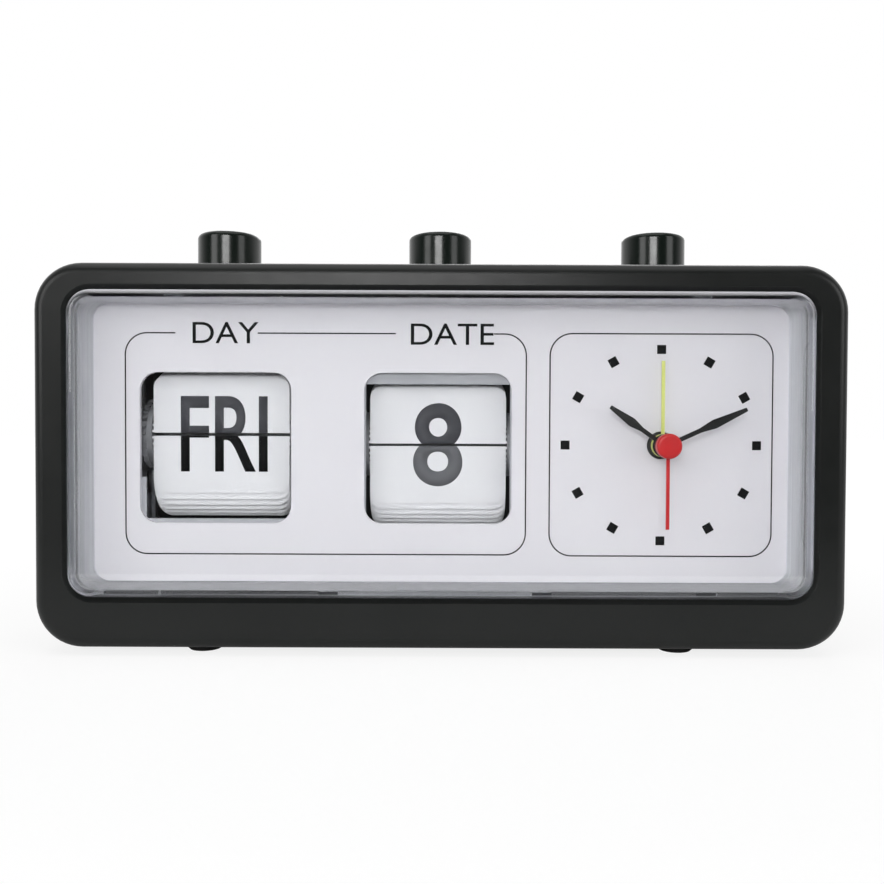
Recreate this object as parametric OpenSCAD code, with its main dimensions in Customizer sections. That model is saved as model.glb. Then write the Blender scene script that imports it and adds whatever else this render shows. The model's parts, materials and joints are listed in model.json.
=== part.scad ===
// Desk calendar clock: flip day, flip date and a quartz alarm dial in one case.
// Millimetres. The origin is the middle of the footprint at table height, +Z is up,
// +X is the viewer's right and the dial faces -Y. Depths count backwards from the bezel's front face.

/* [Case] */
// Width of the case
case_w = 215; // [190:1:240]
// Height of the case without feet and buttons
case_h = 102; // [90:1:116]
// Depth of the case from the bezel to the rear face
case_d = 55; // [49:1:70]
// Corner radius of the case seen from the front
case_r = 12.5; // [9:0.5:16]
// Radius of the front and rear edges
case_edge = 3; // [2.5:0.1:4]
// Thickness of the case walls
case_wall = 2.4; // [1.6:0.1:2.5]
// Distance of the seam of the rear cover behind the buttons
seam_room = 3.8; // [3:0.1:6]
// Gap that shows as a line between the housing and the rear cover
cover_line = 0.4; // [0.2:0.1:0.8]
// Height of the lip that centres the rear cover inside the housing
cover_lip = 2; // [1:0.5:3]
// Radius of the rubber feet
foot_r = 4.8; // [3:0.1:7]
// Height of the rubber feet
foot_h = 2; // [1:0.5:5]
// Distance of the feet from the front and rear faces
foot_inset = 10.5; // [8:0.5:18]

/* [Lens] */
// Width of the bezel band beside the opening
band_side = 9; // [8:0.1:11]
// Height of the bezel band above the opening
band_top = 7.1; // [6:0.1:8]
// Height of the bezel opening as a share of the case height
lens_share = 0.798; // [0.79:0.002:0.81]
// Corner radius of the bezel opening
lens_r = 6.5; // [5:0.5:12]
// Distance that the lens stands out of the bezel
lens_out = 1.5; // [0.5:0.1:3]
// Thickness of the lens
lens_wall = 2; // [1.2:0.1:2.5]
// Gap between the lens and the bezel opening
lens_gap = 0.2; // [0.1:0.05:0.4]
// Width of the lens flange behind the bezel
flange_w = 1.8; // [1:0.1:2]
// Width of the lens tabs that reach through the dial plate
tab_w = 5; // [4:0.5:6]

/* [Dial] */
// Depth of the dial's front face behind the bezel
dial_depth = 14.7; // [13:0.1:16]
// Thickness of the dial plate
dial_t = 1.5; // [1:0.1:2]
// Gap between a leaf and the side of its window
window_gap = 1.3; // [0.8:0.1:1.8]
// Height of the day and date windows
window_h = 42; // [41:0.5:44]
// Corner radius of the windows
window_r = 5; // [1:0.5:8]
// Distance of the window centres below the inside of the case top
window_drop = 46.75; // [46:0.05:48]
// Distance of the day leaves' middle from the left side of the case
day_side = 45.35; // [44:0.05:47]
// Distance of the day window's left side from its usual place beside the leaves
day_open = 1; // [0:0.1:1.5]
// Distance of the movement from the right side of the case
move_side = 18.4; // [17:0.1:20]
// Room above the movement for the alarm switch and its button
switch_room = 17.6; // [17:0.1:19.5]

/* [Flip units] */
// Number of day leaves
day_leaves = 28; // [21:7:28]
// Number of date leaves
date_leaves = 31; // [28:1:31]
// Distance of the day drum's axis below the inside of the case top
day_drop = 43.1; // [42.5:0.1:44.5]
// Distance of the date drum's axis below the inside of the case top
date_drop = 45.85; // [43.5:0.05:47.5]
// Gap between the frames of the two units
unit_gap = 1.65; // [1:0.05:3]
// Gap between the date unit and the movement
move_gap = 4.1; // [3:0.1:6]
// Radius of the circle of leaf pivots
pivot_r = 8; // [7.5:0.1:8.2]
// Depth of the shown leaf behind the dial's front face
leaf_depth = 5; // [5:0.1:6]
// Height of a leaf above its pivots
leaf_h = 15.8; // [14:0.1:16]
// Corner radius of a leaf
leaf_r = 3.5; // [3:0.1:6]
// Thickness of a leaf
leaf_t = 0.15; // [0.1:0.01:0.18]
// Thickness of the drum discs
disc_t = 1.5; // [1.2:0.1:1.8]
// Height of the ratchet teeth
tooth_h = 1.1; // [0.6:0.1:1.1]
// Radius of the fixed axles
axle_r = 1.5; // [1:0.1:2]
// Thickness of the frame sheet
sheet_t = 1.5; // [1:0.1:1.5]
// Width of the frame flanges
frame_flange = 5.5; // [5:0.1:5.6]

/* [Buttons] */
// Diameter of the buttons
button_d = 18; // [14:0.5:18.5]
// Height of the buttons above the case at rest
button_h = 13; // [8:0.5:16]
// Travel of the buttons
button_travel = 3; // [2:0.1:3]
// Sideways offset of each button from its unit
button_shift = 0.4; // [0:0.1:1.5]
// Radius of the rounded top edge of a button
button_edge = 1.5; // [0.8:0.1:2.5]
// Rise of a button's domed top
button_dome = 0.8; // [0.4:0.1:1.5]

/* [Movement] */
// Width and height of the movement case
move_w = 56; // [50:0.5:62]
// Depth of the movement without its cover
move_d = 14; // [14:0.5:16]
// Distance of the gear arbors from the hands' axis
arbor_c = 10; // [10:0.1:10.6]
// Distance of the alarm set arbor from the hands' axis
alarm_c = 12; // [12:0.1:13]
// Distance of the rotor from the step wheel
rotor_c = 6.5; // [6.5:0.1:6.8]
// Length of the set knobs outside the rear cover
knob_out = 6; // [4:0.5:9]
// Radius of the set knobs
knob_r = 4.5; // [3.5:0.1:5]

/* [Hands] */
// Length of the hour hand
hour_len = 18.2; // [12:0.1:20]
// Length of the minute hand
minute_len = 24; // [20:0.1:26]
// Length of the second hand
second_len = 22.5; // [18:0.1:26]
// Length of the alarm hand
alarm_len = 23.3; // [16:0.1:26]
// Thickness of the hands
hand_t = 0.5; // [0.3:0.1:0.8]
// Distance between the hands along their axis
hand_step = 2; // [1.5:0.1:2.2]
// Angle of the hour hand from twelve
hour_angle = 305.5; // [0:0.5:360]
// Angle of the minute hand from twelve
minute_angle = 65.4; // [0:0.2:360]
// Angle of the second hand from twelve
second_angle = 180; // [0:6:360]
// Angle of the alarm hand from twelve
alarm_angle = 0; // [0:1:360]

/* [Battery] */
// Diameter of the battery cell
cell_d = 14.5; // [14:0.1:14.6]
// Length of the battery cell
cell_l = 50.5; // [49:0.1:52]
// Thickness of the compartment walls
box_wall = 1.6; // [1.2:0.1:2]

/* [Fits] */
// Radial clearance of turning fits
run_fit = 0.08; // [0.03:0.01:0.1]
// Clearance between sliding parts
slide_gap = 0.3; // [0.2:0.05:0.4]
// Radius of the screw shanks
screw_r = 1.1; // [0.8:0.1:1.3]

/* [Hidden] */
$fn = 64;
eps = 0.01;

// Case
front_y = (lens_out - case_d - knob_out) / 2;
case_low = foot_h;
case_top = foot_h + case_h;
case_cz = foot_h + case_h / 2;
in_x = case_w / 2 - case_wall;
in_low = case_low + case_wall;
in_top = case_top - case_wall;
cover_in = case_d - case_edge;
lens_w = case_w - 2 * band_side;
lens_h = lens_share * case_h;
lens_cz = case_top - band_top - lens_h / 2;
foot_x = 0.3 * case_w;
bezel_chamfer = 1.2;
flange_t = 1.5;
foot_chamfer = 0.6;

// Dial plate and the posts behind it
dial_rear = dial_depth + dial_t;
dial_side = 1.6;
dial_top = in_top - dial_side;
dial_low = in_low + dial_side;
post_h = 4;
post_r = 2.6;
frame_d = dial_rear + post_h;
boss_r = 2.8;
boss_gap = 1.1;
boss_z = in_low + boss_r + boss_gap;
boss_xs = case_w * [-0.36, 0, 0.36];
hook_xs = case_w * [-0.405, 0.145, 0.405];
rib_t = 2;
hook_w = 6;
tab_tops = case_w * [-0.338, 0.33];
tab_lows = case_w * [-0.143, 0.129, 0.338];
tab_t = 1.2;
tab_reach = 1.2;

// Case screws and their bosses
case_boss_r = 3.5;
case_boss_x = in_x - case_boss_r - 1.2;
case_boss_zs = [in_low + 8, in_top - 9.5];
case_boss_d = 18;
screw_head_r = 2.2 * screw_r;
screw_head_h = 1.6;
screw_gap = 0.05;
screw_seat = 2;
pilot_extra = 1;
case_screw_l = 10;
dial_screw_l = 8;
frame_screw_l = 5;

// Flip units
axis_d = dial_depth + leaf_depth + pivot_r;
ratchet_t = 1.5;
unit_side = 2 * slide_gap + disc_t + ratchet_t + sheet_t + frame_flange;
day_x = day_side - case_w / 2;
clock_x = case_w / 2 - move_side - move_w / 2;
date_x = (2 * clock_x - move_w - 2 * move_gap + unit_gap + day_x) / 3;
leaf_w = date_x - day_x - unit_gap - 2 * unit_side;
day_z = in_top - day_drop;
date_z = in_top - date_drop;
window_z = in_top - window_drop;
window_w = leaf_w + 2 * window_gap;
disc_in = leaf_w / 2 + slide_gap;
disc_out = disc_in + disc_t;
ratchet_out = disc_out + ratchet_t;
cheek_in = ratchet_out + slide_gap;
cheek_out = cheek_in + sheet_t;
frame_out = cheek_out + frame_flange;
ear_hole_r = 0.6;
ear_h = 0.45;
disc_r = pivot_r + 2 * ear_hole_r;
tube_r = 4;
pack_r = norm([pivot_r, leaf_h + 1]);
hang_r = pivot_r + leaf_h;
bar_top = pack_r + 1.9;
bar_low = -hang_r - 1.2;
frame_v = frame_d - axis_d;
cheek_half = 7;
column_half = 3.5;
post_w = 8;
post_u = cheek_out + frame_flange / 2;

// Buttons
button_r = button_d / 2;
button_hole_r = button_r + slide_gap;
collar_t = 1.2;
collar_low = in_top - 5.5;
button_skirt = 1.6;
button_flange_r = button_hole_r + collar_t;
button_flange_t = 1.5;
house_d = axis_d + button_flange_r + seam_room;
button_base = collar_low - slide_gap - button_flange_t;
arm_h = 3;
arm_t = 1.1;
arm_half = 3;
nose_w = 1.7;
nose_v = frame_v - post_h + slide_gap + 0.2;
spring_r = 4;
spring_wire = 0.8;

// Movement
clock_z = in_top - switch_room - move_w / 2;
shell_t = 1.5;
move_r = 3;
move_rear = dial_rear + move_d;
gear_t = 1;
layer_step = 1.5;
arbor_r = 0.5;
pivot_len = 1.2;
press_gap = 0.02;
pipe_t = 0.55;
cannon_in = arbor_r + run_fit;
cannon_out = cannon_in + pipe_t;
hour_in = cannon_out + run_fit;
hour_out = hour_in + pipe_t;
alarm_in = hour_out + run_fit;
alarm_out = alarm_in + pipe_t;
neck_in = alarm_out + run_fit;
neck_out = neck_in + 1.1;
neck_front = dial_depth - 0.6;
third_at = arbor_c * [-1, 0];
minute_at = arbor_c * [0, 1];
step_at = arbor_c * [0, -1];
alarm_at = alarm_c * [1, 0];
rotor_turn = 200;
rotor_at = step_at + rotor_c * [cos(rotor_turn), sin(rotor_turn)];
magnet_r = 2.3;
stator_hole_r = 2.8;
stator_ring_r = 3.4;
coil_z = (rotor_at[1] - stator_ring_r + shell_t - move_w / 2) / 2;
coil_r = 3;
coil_x0 = -16;
coil_x1 = 4;
leg_w = 3;
set_arbor_r = 0.8;
set_arbor_end = move_rear + shell_t + 3;
knob_in = 7;
knob_flutes = 16;
flute_r = 0.5;
knob_stem_r = 2;
ear_w = 8;
ear_x = move_w / 2 - 10;
ear_z = move_w / 2 + 3.5;
switch_h = 4;
switch_half = 6;
board_at = [6, 10];
board_gap = 2.5;
board_end = move_w / 2 - shell_t - board_gap;
crystal_l = 6;

// Tooth counts: driver then driven
rotor_teeth = 6;
step_teeth = 30;
step_pinion = 8;
seconds_teeth = 48;
seconds_pinion = 6;
third_teeth = 45;
third_pinion = 6;
centre_teeth = 48;
cannon_teeth = 14;
minute_teeth = 42;
minute_pinion = 12;
hour_teeth = 48;
alarm_teeth = 32;
alarm_pinion = 16;

// Hands
hub_r = 3.2;
hand_arm = 0.6;
hand_swell = 1.25;
hand_tip = 0.5;
needle_w = 0.9;
cap_r = 3.4;
cap_h = 2.5;
cap_edge = 0.8;

// Battery compartment in the rear cover
cell_x = -0.148 * case_w;
door_t = 2;
hinge_r = 0.5;
hinge_l = 1.2;
cell_gap = 0.75;
cell_r = cell_d / 2;
cell_z = in_low + box_wall + cell_gap + cell_r;
cell_depth = case_d - door_t - cell_gap - cell_r;
contact_t = 0.5;
contact_bump = 1.5;
box_half_x = cell_l / 2 + contact_bump + contact_t;
box_half_z = cell_r + cell_gap;
box_front = cell_depth - cell_r - cell_gap;
door_half_x = box_half_x - 1;
door_half_z = box_half_z;
hinge_d = case_d - door_t / 2;
hinge_z = cell_z - door_half_z + door_t / 2;
thumb_r = 3;
nub_r = 2.75;
nub_h = 1;
lead_r = 0.6;
lead_z = cell_z + box_half_z + box_wall + 3 * lead_r;
lead_hole_z = cell_z + cell_r - 2 * lead_r;

// Buzzer on the rear cover
buzzer_r = 11;
buzzer_h = 6;
buzzer_show = 2;
buzzer_side = 13;
buzzer_drop = 19;
buzzer_x = clock_x - buzzer_side;
buzzer_z = clock_z - buzzer_drop;
slot_w = 1.6;
slot_step = 4;

function lead_d(side) = cell_depth - cell_r / 2 - 2 * (side + 1) * lead_r;
function layer(i) = dial_rear + shell_t + 0.3 + i * layer_step;
function hand_d(i) = dial_depth - hand_step * (i + 1);
function gear_r(own, mate, distance) = distance * own / (own + mate);

// Trapezoid teeth round a pitch circle, short enough to run with play
function gear_points(teeth, pitch_r) = let (tip = 1.2 * pitch_r / teeth, root = 1.9 * pitch_r / teeth)
    [for (i = [0:teeth - 1]) for (s = [[-0.21, -root], [-0.09, tip], [0.09, tip], [0.21, -root]])
        let (a = 360 * (i + s[0]) / teeth) (pitch_r + s[1]) * [cos(a), sin(a)]];

// Saw teeth round the drum disc, steep side facing down at the front
function ratchet_points(teeth) = [for (i = [0:teeth - 1]) for (s = [[0.05, tooth_h], [0.95, 0]])
    let (a = 180 - 360 * (i + s[0]) / teeth) (disc_r - 0.2 + s[1]) * [cos(a), sin(a)]];

module slab(d0, d1) {
    translate([0, front_y + d1, 0]) rotate([90, 0, 0]) linear_extrude(d1 - d0) children();
}

module across(x0, x1) {
    translate([x0, 0, 0]) rotate([90, 0, 90]) linear_extrude(x1 - x0) children();
}

module rounded_rect(w, h, r) {
    square([w - 2 * r, h], center = true);
    square([w, h - 2 * r], center = true);
    for (x = [-1, 1], y = [-1, 1]) translate([x * (w / 2 - r), y * (h / 2 - r)]) circle(r);
}

// Sweeps a profile round a rounded rectangle: profile x points outwards, profile y points backwards
module round_sweep(w, h, r) {
    for (s = [0, 1]) {
        mirror([s, 0, 0]) translate([w / 2, 0, r - h / 2]) linear_extrude(h - 2 * r) children();
        mirror([0, 0, s]) translate([w / 2 - r, 0, h / 2]) rotate([0, -90, 0])
            linear_extrude(w - 2 * r) children();
        for (t = [0, 1]) mirror([s, 0, 0]) mirror([0, 0, t]) translate([w / 2 - r, 0, r - h / 2])
            rotate([-90, 0, 0]) rotate_extrude(angle = 90) translate([r, 0]) children();
    }
}

// Open box with a rounded front edge: its front face is at y = 0 and its walls run backwards
module round_shell(w, h, r, edge, wall, depth) {
    shell_lap = 0.5;
    round_sweep(w, h, r) difference() {
        union() {
            translate([-wall, 0]) square([wall, depth]);
            translate([-edge - shell_lap, 0]) square([edge + shell_lap, edge]);
        }
        difference() {
            translate([-edge, -eps]) square([edge + eps, edge + eps]);
            translate([-edge, edge]) circle(edge);
        }
    }
    translate([0, edge, 0]) rotate([90, 0, 0]) linear_extrude(edge)
        rounded_rect(w - 2 * edge, h - 2 * edge, r - edge);
}

module at_front(d, z) {
    translate([0, front_y + d, z]) children();
}

module rod(a, b, r) {
    v = b - a;
    translate(a) rotate([0, acos(v[2] / norm(v)), atan2(v[1], v[0])]) cylinder(r = r, h = norm(v));
}

// Turned part along Y: profile x is the radius, profile y the depth behind the bezel
module turned(x, z) {
    translate([x, front_y, z]) rotate([-90, 0, 0]) rotate_extrude() children();
}

module pin(x, z, d0, d1, r) {
    translate([x, front_y + d0, z]) rotate([-90, 0, 0]) cylinder(r = r, h = d1 - d0);
}

button_xs = [day_x + button_shift, date_x + button_shift, clock_x + button_shift];
units = [[day_x, day_z], [date_x, date_z]];
frame_posts = [for (u = units) for (sx = [-1, 1]) for (sz = [-1, 1])
    [u[0] + sx * post_u, u[1] + sz * post_w]];
move_posts = [[clock_x - ear_x, clock_z + ear_z], [clock_x + ear_x, clock_z - ear_z]];
case_bosses = [for (sx = [-1, 1]) for (z = case_boss_zs) [sx * case_boss_x, z]];
lens_tabs = concat(
    [for (x = tab_tops) [x, lens_cz + lens_h / 2 - lens_gap - lens_wall / 2]],
    [for (x = tab_lows) [x, lens_cz - lens_h / 2 + lens_gap + lens_wall / 2]]);
knobs = [[clock_x, clock_z] + minute_at, [clock_x, clock_z] + alarm_at];

module screw(x, z, seat, len) {
    pin(x, z, seat, seat + screw_head_h, screw_head_r);
    pin(x, z, seat - len, seat + eps, screw_r - screw_gap);
}

module front_housing() {
    color([0.16, 0.165, 0.16]) difference() {
        union() {
            at_front(0, case_cz) round_shell(case_w, case_h, case_r, case_edge, case_wall, house_d);
            for (x = boss_xs) pin(x, boss_z, case_edge - eps, dial_depth, boss_r);
            for (x = hook_xs) translate([x - hook_w / 2, front_y + dial_rear, dial_top - rib_t])
                cube([hook_w, rib_t, in_top - dial_top + rib_t + eps]);
            for (b = case_bosses) {
                pin(b[0], b[1], case_boss_d, house_d, case_boss_r);
                translate([sign(b[0]) * (case_boss_x + in_x + eps) / 2,
                           front_y + (case_boss_d + house_d) / 2, b[1]])
                    cube([in_x - case_boss_x + eps, house_d - case_boss_d, rib_t], center = true);
            }
            for (x = button_xs) translate([x, front_y + axis_d, collar_low])
                cylinder(r = button_hole_r + collar_t, h = in_top - collar_low + eps);
        }
        translate([0, 0, lens_cz]) slab(-eps, case_edge + eps) rounded_rect(lens_w, lens_h, lens_r);
        at_front(0, lens_cz) round_sweep(lens_w, lens_h, lens_r)
            polygon([[-1, -eps], [bezel_chamfer, -eps], [0, bezel_chamfer], [-1, bezel_chamfer]]);
        for (x = boss_xs) pin(x, boss_z, dial_rear - dial_screw_l - pilot_extra, dial_depth + eps, screw_r);
        for (b = case_bosses) pin(b[0], b[1], house_d - case_screw_l, house_d + eps, screw_r);
        for (x = button_xs) translate([x, front_y + axis_d, collar_low - eps])
            cylinder(r = button_hole_r, h = case_top - collar_low + 2 * eps);
    }
}

module lip_profile() {
    rim = 0.1;
    rib = 1.3;
    polygon([[-rib, -cover_lip], [-rim, -cover_lip], [-rim, cover_line], [rim, cover_line],
             [rim, cover_line + cover_lip], [-rib, cover_line + cover_lip]]);
}

module cover_lips() {
    lip_side = case_h / 2;
    lip_end = 12.5;
    lip_top = case_w - 2 * (case_r + lip_end);
    at_front(house_d, case_cz) for (s = [0, 1]) {
        mirror([s, 0, 0]) translate([in_x, 0, -lip_side / 2]) linear_extrude(lip_side) lip_profile();
        mirror([0, 0, s]) translate([lip_top / 2, 0, case_h / 2 - case_wall]) rotate([0, -90, 0])
            linear_extrude(lip_top) lip_profile();
    }
}

module cell_box(grow) {
    slab(box_front - grow, cover_in + eps) translate([cell_x, cell_z])
        square([2 * (box_half_x + grow), 2 * (box_half_z + grow)], center = true);
}

module rear_cover() {
    color([0.15, 0.155, 0.15]) difference() {
        union() {
            at_front(case_d, case_cz) mirror([0, 1, 0])
                round_shell(case_w, case_h, case_r, case_edge, case_wall, case_d - house_d - cover_line);
            cover_lips();
            for (b = case_bosses) pin(b[0], b[1], house_d, cover_in + eps, case_boss_r);
            pin(buzzer_x, buzzer_z, cover_in - buzzer_h + buzzer_show, cover_in + eps, buzzer_r + box_wall);
            cell_box(box_wall);
        }
        for (b = case_bosses) {
            pin(b[0], b[1], house_d - eps, case_d + eps, screw_r + slide_gap);
            pin(b[0], b[1], house_d + screw_seat, case_d + eps, screw_head_r + slide_gap);
        }
        for (k = knobs) pin(k[0], k[1], cover_in - eps, case_d + eps, knob_r + slide_gap);
        pin(buzzer_x, buzzer_z, cover_in - buzzer_h, cover_in, buzzer_r + press_gap);
        for (i = [-2:2]) slab(cover_in - eps, case_d + eps)
            translate([buzzer_x, buzzer_z + i * slot_step]) square([buzzer_r, slot_w], center = true);
        cell_box(0);
        for (s = [-1, 1])
            translate([cell_x + s * (box_half_x + box_wall / 2), front_y + lead_d(s), lead_hole_z])
            rotate([0, 90, 0]) cylinder(r = lead_r + slide_gap, h = 2 * box_wall, center = true);
        slab(cover_in - eps, case_d + eps) translate([cell_x, cell_z])
            square([2 * door_half_x - 2, 2 * door_half_z - 2], center = true);
        slab(case_d - door_t - slide_gap, case_d + eps) translate([cell_x, cell_z])
            square(2 * [door_half_x + slide_gap, door_half_z + slide_gap], center = true);
        hinge_line(hinge_r + run_fit, door_half_x + hinge_l + slide_gap);
    }
}

module hinge_line(r, half) {
    translate([cell_x - half, front_y + hinge_d, hinge_z]) rotate([0, 90, 0]) cylinder(r = r, h = 2 * half);
}

module battery_door() {
    color([0.15, 0.155, 0.15]) {
        difference() {
            across(cell_x - door_half_x, cell_x + door_half_x) translate([front_y + hinge_d, hinge_z]) {
                circle(door_t / 2);
                translate([-door_t / 2, 0]) square([door_t, 2 * door_half_z - door_t / 2]);
            }
            pin(cell_x, cell_z + door_half_z - thumb_r - 1, hinge_d, case_d + eps, thumb_r);
        }
        hinge_line(hinge_r, door_half_x + hinge_l);
    }
}

module battery_cell() {
    color([0.72, 0.6, 0.3]) translate([cell_x - cell_l / 2, front_y + cell_depth, cell_z]) rotate([0, 90, 0]) {
        cylinder(r = cell_r, h = cell_l - nub_h);
        cylinder(r = nub_r, h = cell_l);
    }
}

module battery_contacts() {
    color([0.8, 0.8, 0.78]) for (s = [-1, 1]) translate([cell_x, front_y + cell_depth, cell_z]) {
        translate([s * (box_half_x - contact_t / 2), 0, 0])
            cube([contact_t, 2 * (cell_r - cell_gap), 2 * (cell_r - cell_gap)], center = true);
        translate([s * (cell_l + contact_bump + eps) / 2, 0, 0]) rotate([0, 90, 0])
            cylinder(r = nub_r, h = contact_bump, center = true);
    }
}

// The leads run over the compartment and into the left side of the movement
module battery_leads() {
    side_x = clock_x - move_w / 2;
    run_x = side_x - 2.5 * lead_r;
    in_d = move_rear - move_d / 4;
    color([0.6, 0.1, 0.1]) for (s = [-1, 1]) {
        x0 = cell_x + s * (box_half_x + box_wall + 2 * lead_r);
        d = lead_d(s);
        in_z = clock_z - move_w / 4 - 4 * s * lead_r;
        path = [[cell_x + s * box_half_x, d, lead_hole_z], [x0, d, lead_hole_z], [x0, d, lead_z],
                [run_x, d, lead_z], [run_x, d, in_z], [run_x, in_d, in_z], [side_x, in_d, in_z]];
        points = [for (q = path) q + [0, front_y, 0]];
        for (i = [0:len(points) - 2]) rod(points[i], points[i + 1], lead_r);
        for (i = [1:len(points) - 2]) translate(points[i]) sphere(lead_r);
    }
}

module lens() {
    w = lens_w - 2 * lens_gap;
    h = lens_h - 2 * lens_gap;
    color([0.85, 0.9, 0.9, 0.4]) {
        at_front(-lens_out, lens_cz)
            round_shell(w, h, lens_r - lens_gap, lens_wall, lens_wall, dial_depth + lens_out);
        translate([0, 0, lens_cz]) slab(case_edge, case_edge + flange_t) difference() {
            rounded_rect(lens_w + 2 * flange_w, lens_h + 2 * flange_w, lens_r + flange_w);
            rounded_rect(w - lens_wall, h - lens_wall, lens_r - lens_gap - lens_wall / 2);
        }
        for (t = lens_tabs) slab(dial_depth - lens_wall, dial_rear + tab_reach)
            translate(t) square([tab_w, tab_t], center = true);
    }
}

module dial_plate() {
    color([0.9, 0.89, 0.91]) difference() {
        union() {
            translate([0, 0, case_cz]) slab(dial_depth, dial_rear)
                rounded_rect(2 * (in_x - dial_side), dial_top - dial_low, case_r - case_wall - dial_side);
            for (p = concat(frame_posts, move_posts)) pin(p[0], p[1], dial_rear - eps, frame_d, post_r);
        }
        translate([day_x - day_open / 2, 0, window_z]) slab(dial_depth - eps, dial_rear + eps)
            rounded_rect(window_w + day_open, window_h, window_r);
        translate([date_x, 0, window_z]) slab(dial_depth - eps, dial_rear + eps)
            rounded_rect(window_w, window_h, window_r);
        pin(clock_x, clock_z, dial_depth - eps, dial_rear + eps, neck_out + slide_gap);
        for (x = boss_xs) pin(x, boss_z, dial_depth - eps, dial_rear + eps, screw_r + slide_gap);
        for (p = concat(frame_posts, move_posts))
            pin(p[0], p[1], dial_rear - dial_t / 2, frame_d + eps, screw_r);
        for (t = lens_tabs) slab(dial_depth - eps, dial_rear + eps) translate(t)
            square([tab_w + 2 * lens_gap, tab_t + 2 * lens_gap], center = true);
    }
}

module rubber_feet() {
    color([0.08, 0.08, 0.08]) for (x = [-foot_x, foot_x], d = [foot_inset, (house_d + cover_in) / 2])
        translate([x, front_y + d, 0]) rotate_extrude() polygon([[0, 0], [foot_r - foot_chamfer, 0],
            [foot_r, foot_chamfer], [foot_r, foot_h], [0, foot_h]]);
}

module case_screws() {
    color([0.6, 0.6, 0.6]) for (b = case_bosses) screw(b[0], b[1], house_d + screw_seat, case_screw_l);
}

module dial_screws() {
    color([0.6, 0.6, 0.6]) for (x = boss_xs) screw(x, boss_z, dial_rear, dial_screw_l);
}

module frame_screws() {
    color([0.6, 0.6, 0.6]) for (p = frame_posts) screw(p[0], p[1], frame_d + sheet_t, frame_screw_l);
}

module movement_screws() {
    color([0.6, 0.6, 0.6]) for (p = move_posts) screw(p[0], p[1], frame_d + shell_t, frame_screw_l);
}

module buzzer() {
    color([0.1, 0.1, 0.1]) difference() {
        pin(buzzer_x, buzzer_z, cover_in - buzzer_h, cover_in, buzzer_r);
        pin(buzzer_x, buzzer_z, cover_in - buzzer_h - eps, cover_in - buzzer_h / 2, buzzer_r / 4);
    }
}

// Moves a flip unit from its own axis to its place in the case
module unit_at(x, z) {
    translate([x, front_y + axis_d, z]) children();
}

module cheek_outline() {
    arch = (cheek_half - frame_v) / 2;
    difference() {
        union() {
            translate([frame_v, bar_low - sheet_t]) square([2 * arch, sheet_t - bar_low + arch / 2]);
            translate([frame_v + arch, arch / 2]) circle(arch);
            translate([-column_half, 0]) square([2 * column_half, bar_top + sheet_t]);
        }
        circle(axle_r + press_gap);
        translate([0, bar_low / 2 - 1]) circle(arch / 2);
    }
}

module unit_frame(x, z) {
    unit_at(x, z) {
        for (s = [0, 1]) mirror([s, 0, 0]) {
            across(cheek_in, cheek_out) cheek_outline();
            translate([0, frame_v + sheet_t, 0]) rotate([90, 0, 0]) linear_extrude(sheet_t) difference() {
                translate([cheek_in, -post_w - post_r])
                    square([frame_out - cheek_in, 2 * (post_w + post_r)]);
                for (w = [-post_w, post_w]) translate([post_u, w]) circle(screw_r + slide_gap);
            }
        }
        across(-cheek_in - eps, cheek_in + eps) translate([-column_half, bar_top])
            square([2 * column_half, sheet_t]);
        across(-cheek_in - eps, cheek_in + eps) translate([-column_half, bar_low - sheet_t])
            square([2 * column_half, sheet_t]);
    }
}

module unit_axle(x, z) {
    unit_at(x, z) across(-cheek_out - sheet_t, cheek_out + sheet_t) circle(axle_r);
}

module ear_holes(leaves) {
    for (k = [1:leaves]) rotate(180 - 360 * (k - 0.5) / leaves) translate([pivot_r, 0]) circle(ear_hole_r);
}

module unit_drum(x, z, leaves) {
    unit_at(x, z) difference() {
        union() {
            for (s = [0, 1]) mirror([s, 0, 0]) across(disc_in, disc_out) difference() {
                circle(disc_r);
                ear_holes(leaves);
            }
            across(-disc_in - eps, disc_in + eps) circle(tube_r);
            across(-ratchet_out, eps - disc_out) difference() {
                polygon(ratchet_points(leaves));
                ear_holes(leaves);
            }
            across(disc_out - eps, ratchet_out) circle(tube_r);
        }
        across(-cheek_in, cheek_in) circle(axle_r + run_fit);
    }
}

// Leaf standing up from its pivots at the origin
module leaf() {
    ear_reach = disc_out - 0.4;
    rotate([90, 0, 0]) linear_extrude(leaf_t, center = true) {
        translate([-leaf_w / 2, -ear_h]) square([leaf_w, leaf_h - leaf_r + ear_h]);
        translate([leaf_r - leaf_w / 2, 0]) square([leaf_w - 2 * leaf_r, leaf_h]);
        for (s = [-1, 1]) translate([s * (leaf_w / 2 - leaf_r), leaf_h - leaf_r]) circle(leaf_r);
        square([2 * ear_reach, ear_h * 1.4], center = true);
    }
}

module leaf_at(k, leaves) {
    pitch = 360 / leaves;
    turn = pitch * (k + 0.5);
    translate([0, -pivot_r * cos(turn), pivot_r * sin(turn)])
        rotate([turn < 180 + eps ? -pitch * k : 180, 0, 0]) leaf();
}

module unit_leaf_stack(x, z, leaves) {
    unit_at(x, z) for (k = [1:leaves - 1]) leaf_at(k, leaves);
}

module unit_flip_leaf(x, z, leaves) {
    unit_at(x, z) leaf_at(0, leaves);
}

module unit_click(x, z) {
    strip = 0.5;
    unit_at(x, z) across(-ratchet_out, -disc_out - slide_gap) {
        translate([-column_half, bar_low]) square([2 * column_half, strip]);
        translate([0, bar_low]) square([strip, -bar_low - disc_r - tooth_h - slide_gap]);
    }
}

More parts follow.
